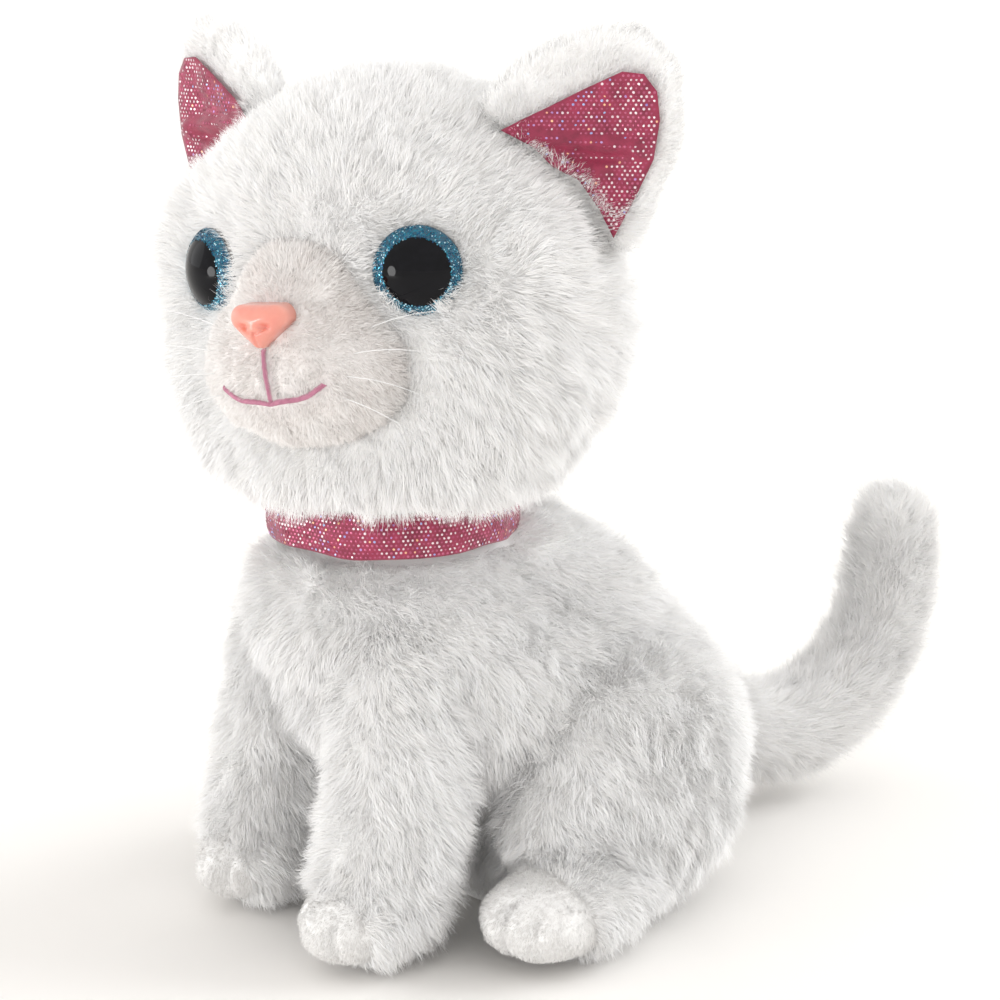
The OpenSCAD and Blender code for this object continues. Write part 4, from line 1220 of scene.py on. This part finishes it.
CAD_LOOKS = (  # slot, light and dark tone, noise scale, roughness, bump and its scale
    ("case_plastic", (0.8, 0.8, 0.78), (0.7, 0.7, 0.68), 90.0, 0.5, 0.3, 1500.0),
    ("gear_plastic", (0.86, 0.83, 0.75), (0.76, 0.73, 0.65), 120.0, 0.4, 0.2, 1200.0),
    ("dark_plastic", (0.05, 0.05, 0.055), (0.02, 0.02, 0.022), 120.0, 0.45, 0.3, 1500.0),
    ("bright_steel", (0.72, 0.72, 0.73), (0.55, 0.55, 0.56), 300.0, 0.32, 0.1, 1500.0),
    ("board_green", (0.04, 0.26, 0.12), (0.02, 0.17, 0.08), 250.0, 0.4, 0.2, 900.0),
    ("cell_wrap", (0.62, 0.42, 0.12), (0.48, 0.31, 0.08), 150.0, 0.3),
    ("wire_red", (0.5, 0.04, 0.04), (0.36, 0.02, 0.02), 200.0, 0.45),
)


def finish_cad():
    """Moulded, metal and board finishes for the CAD pieces that stay."""
    looks = {
        row[0]: mottled(*row, Metallic=1.0 if row[0] == "bright_steel" else 0.0)
        for row in CAD_LOOKS
    }
    for part in frame["record"]["subparts"]:
        look = looks.get(part["material_slot"])
        node = frame["nodes"].get(part["node"])
        if look is None or node is None:
            continue
        if not node.material_slots:
            node.data.materials.append(look)
        for slot in node.material_slots:
            slot.material = look


# ---- studio ----


def make_studio():
    """A pale floor, an even sky, three wide suns, and a small lamp for the glint in the eyes."""
    half_size, squares = 30.0, 40
    bm = bmesh.new()
    bmesh.ops.create_grid(bm, x_segments=squares, y_segments=squares, size=half_size)
    mesh = bpy.data.meshes.new("studio_floor")
    bm.to_mesh(mesh)
    bm.free()
    floor = in_scene("studio_floor", mesh)
    paper = mottled("studio_paper", (0.94, 0.92, 0.895), (0.93, 0.908, 0.883), 4.0, 0.8)
    mesh.materials.append(paper)
    world = bpy.data.worlds.new("studio")
    bpy.context.scene.world = world
    world.use_nodes = True
    sky = world.node_tree.nodes["Background"].inputs
    sky["Color"].default_value = (1.0, 0.985, 0.965, 1)
    sky["Strength"].default_value = 1.0
    # name, direction toward the light, strength, colour
    for name, toward, energy, colour in (
        ("key", (-0.75, -0.55, 0.2), 0.26, (0.96, 0.98, 1.0)),
        ("back", (0.4, 0.8, 0.45), 1.5, (0.95, 0.98, 1.0)),
        ("fill", (0.35, -0.85, 0.05), 0.44, (0.96, 0.98, 1.0)),
    ):
        sun = bpy.data.lights.new(name, "SUN")
        sun.energy, sun.angle, sun.color = energy, SUN_SPREAD, colour
        lamp = in_scene(name, sun)
        lamp.rotation_euler = Vector(toward).to_track_quat("Z", "Y").to_euler()
        lamp.visible_glossy = name == "key"
    glint = bpy.data.lights.new("front", "AREA")
    glint.shape, glint.size, glint.energy = "DISK", 0.3, 2.0
    lamp = in_scene("front", glint)
    lamp.location = (-0.08, -0.99, 0.12)
    aim = Vector((0.03, -0.09, 0.16)) - lamp.location
    lamp.rotation_euler = aim.to_track_quat("-Z", "Y").to_euler()
    bpy.context.scene.view_settings.view_transform = "Standard"


def make_camera():
    """Front left of the kitten, a little above its eyes."""
    azimuth, elevation, distance = math.radians(52), math.radians(13), 0.65
    back = Vector((
        math.sin(azimuth) * math.cos(elevation),
        -math.cos(azimuth) * math.cos(elevation),
        math.sin(elevation),
    ))
    aim = Vector(((NECK[0] + 16.6) / 1000, (NECK[1] + 21.3) / 1000, 0.1074))
    data = bpy.data.cameras.new("camera")
    data.sensor_width, data.lens = 36.0, 93.6
    data.clip_start, data.clip_end = 0.01, 40.0
    cam = in_scene("camera", data)
    cam.location = aim + back * distance
    cam.rotation_euler = (-back).to_track_quat("-Z", "Y").to_euler()
    bpy.context.scene.camera = cam


SIDES = (("left", 1), ("right", -1))
make_camera()
make_studio()
finish_cad()
make_torso()
for side_name, side_sign in SIDES:
    make_legs(side_name, side_sign)
make_tail()
make_head()
make_muzzle()
for side_name, side_sign in SIDES:
    make_ear(side_name, side_sign)
    make_eye(side_name, side_sign)
make_nose()
make_mouth()
make_whiskers()
make_collar()
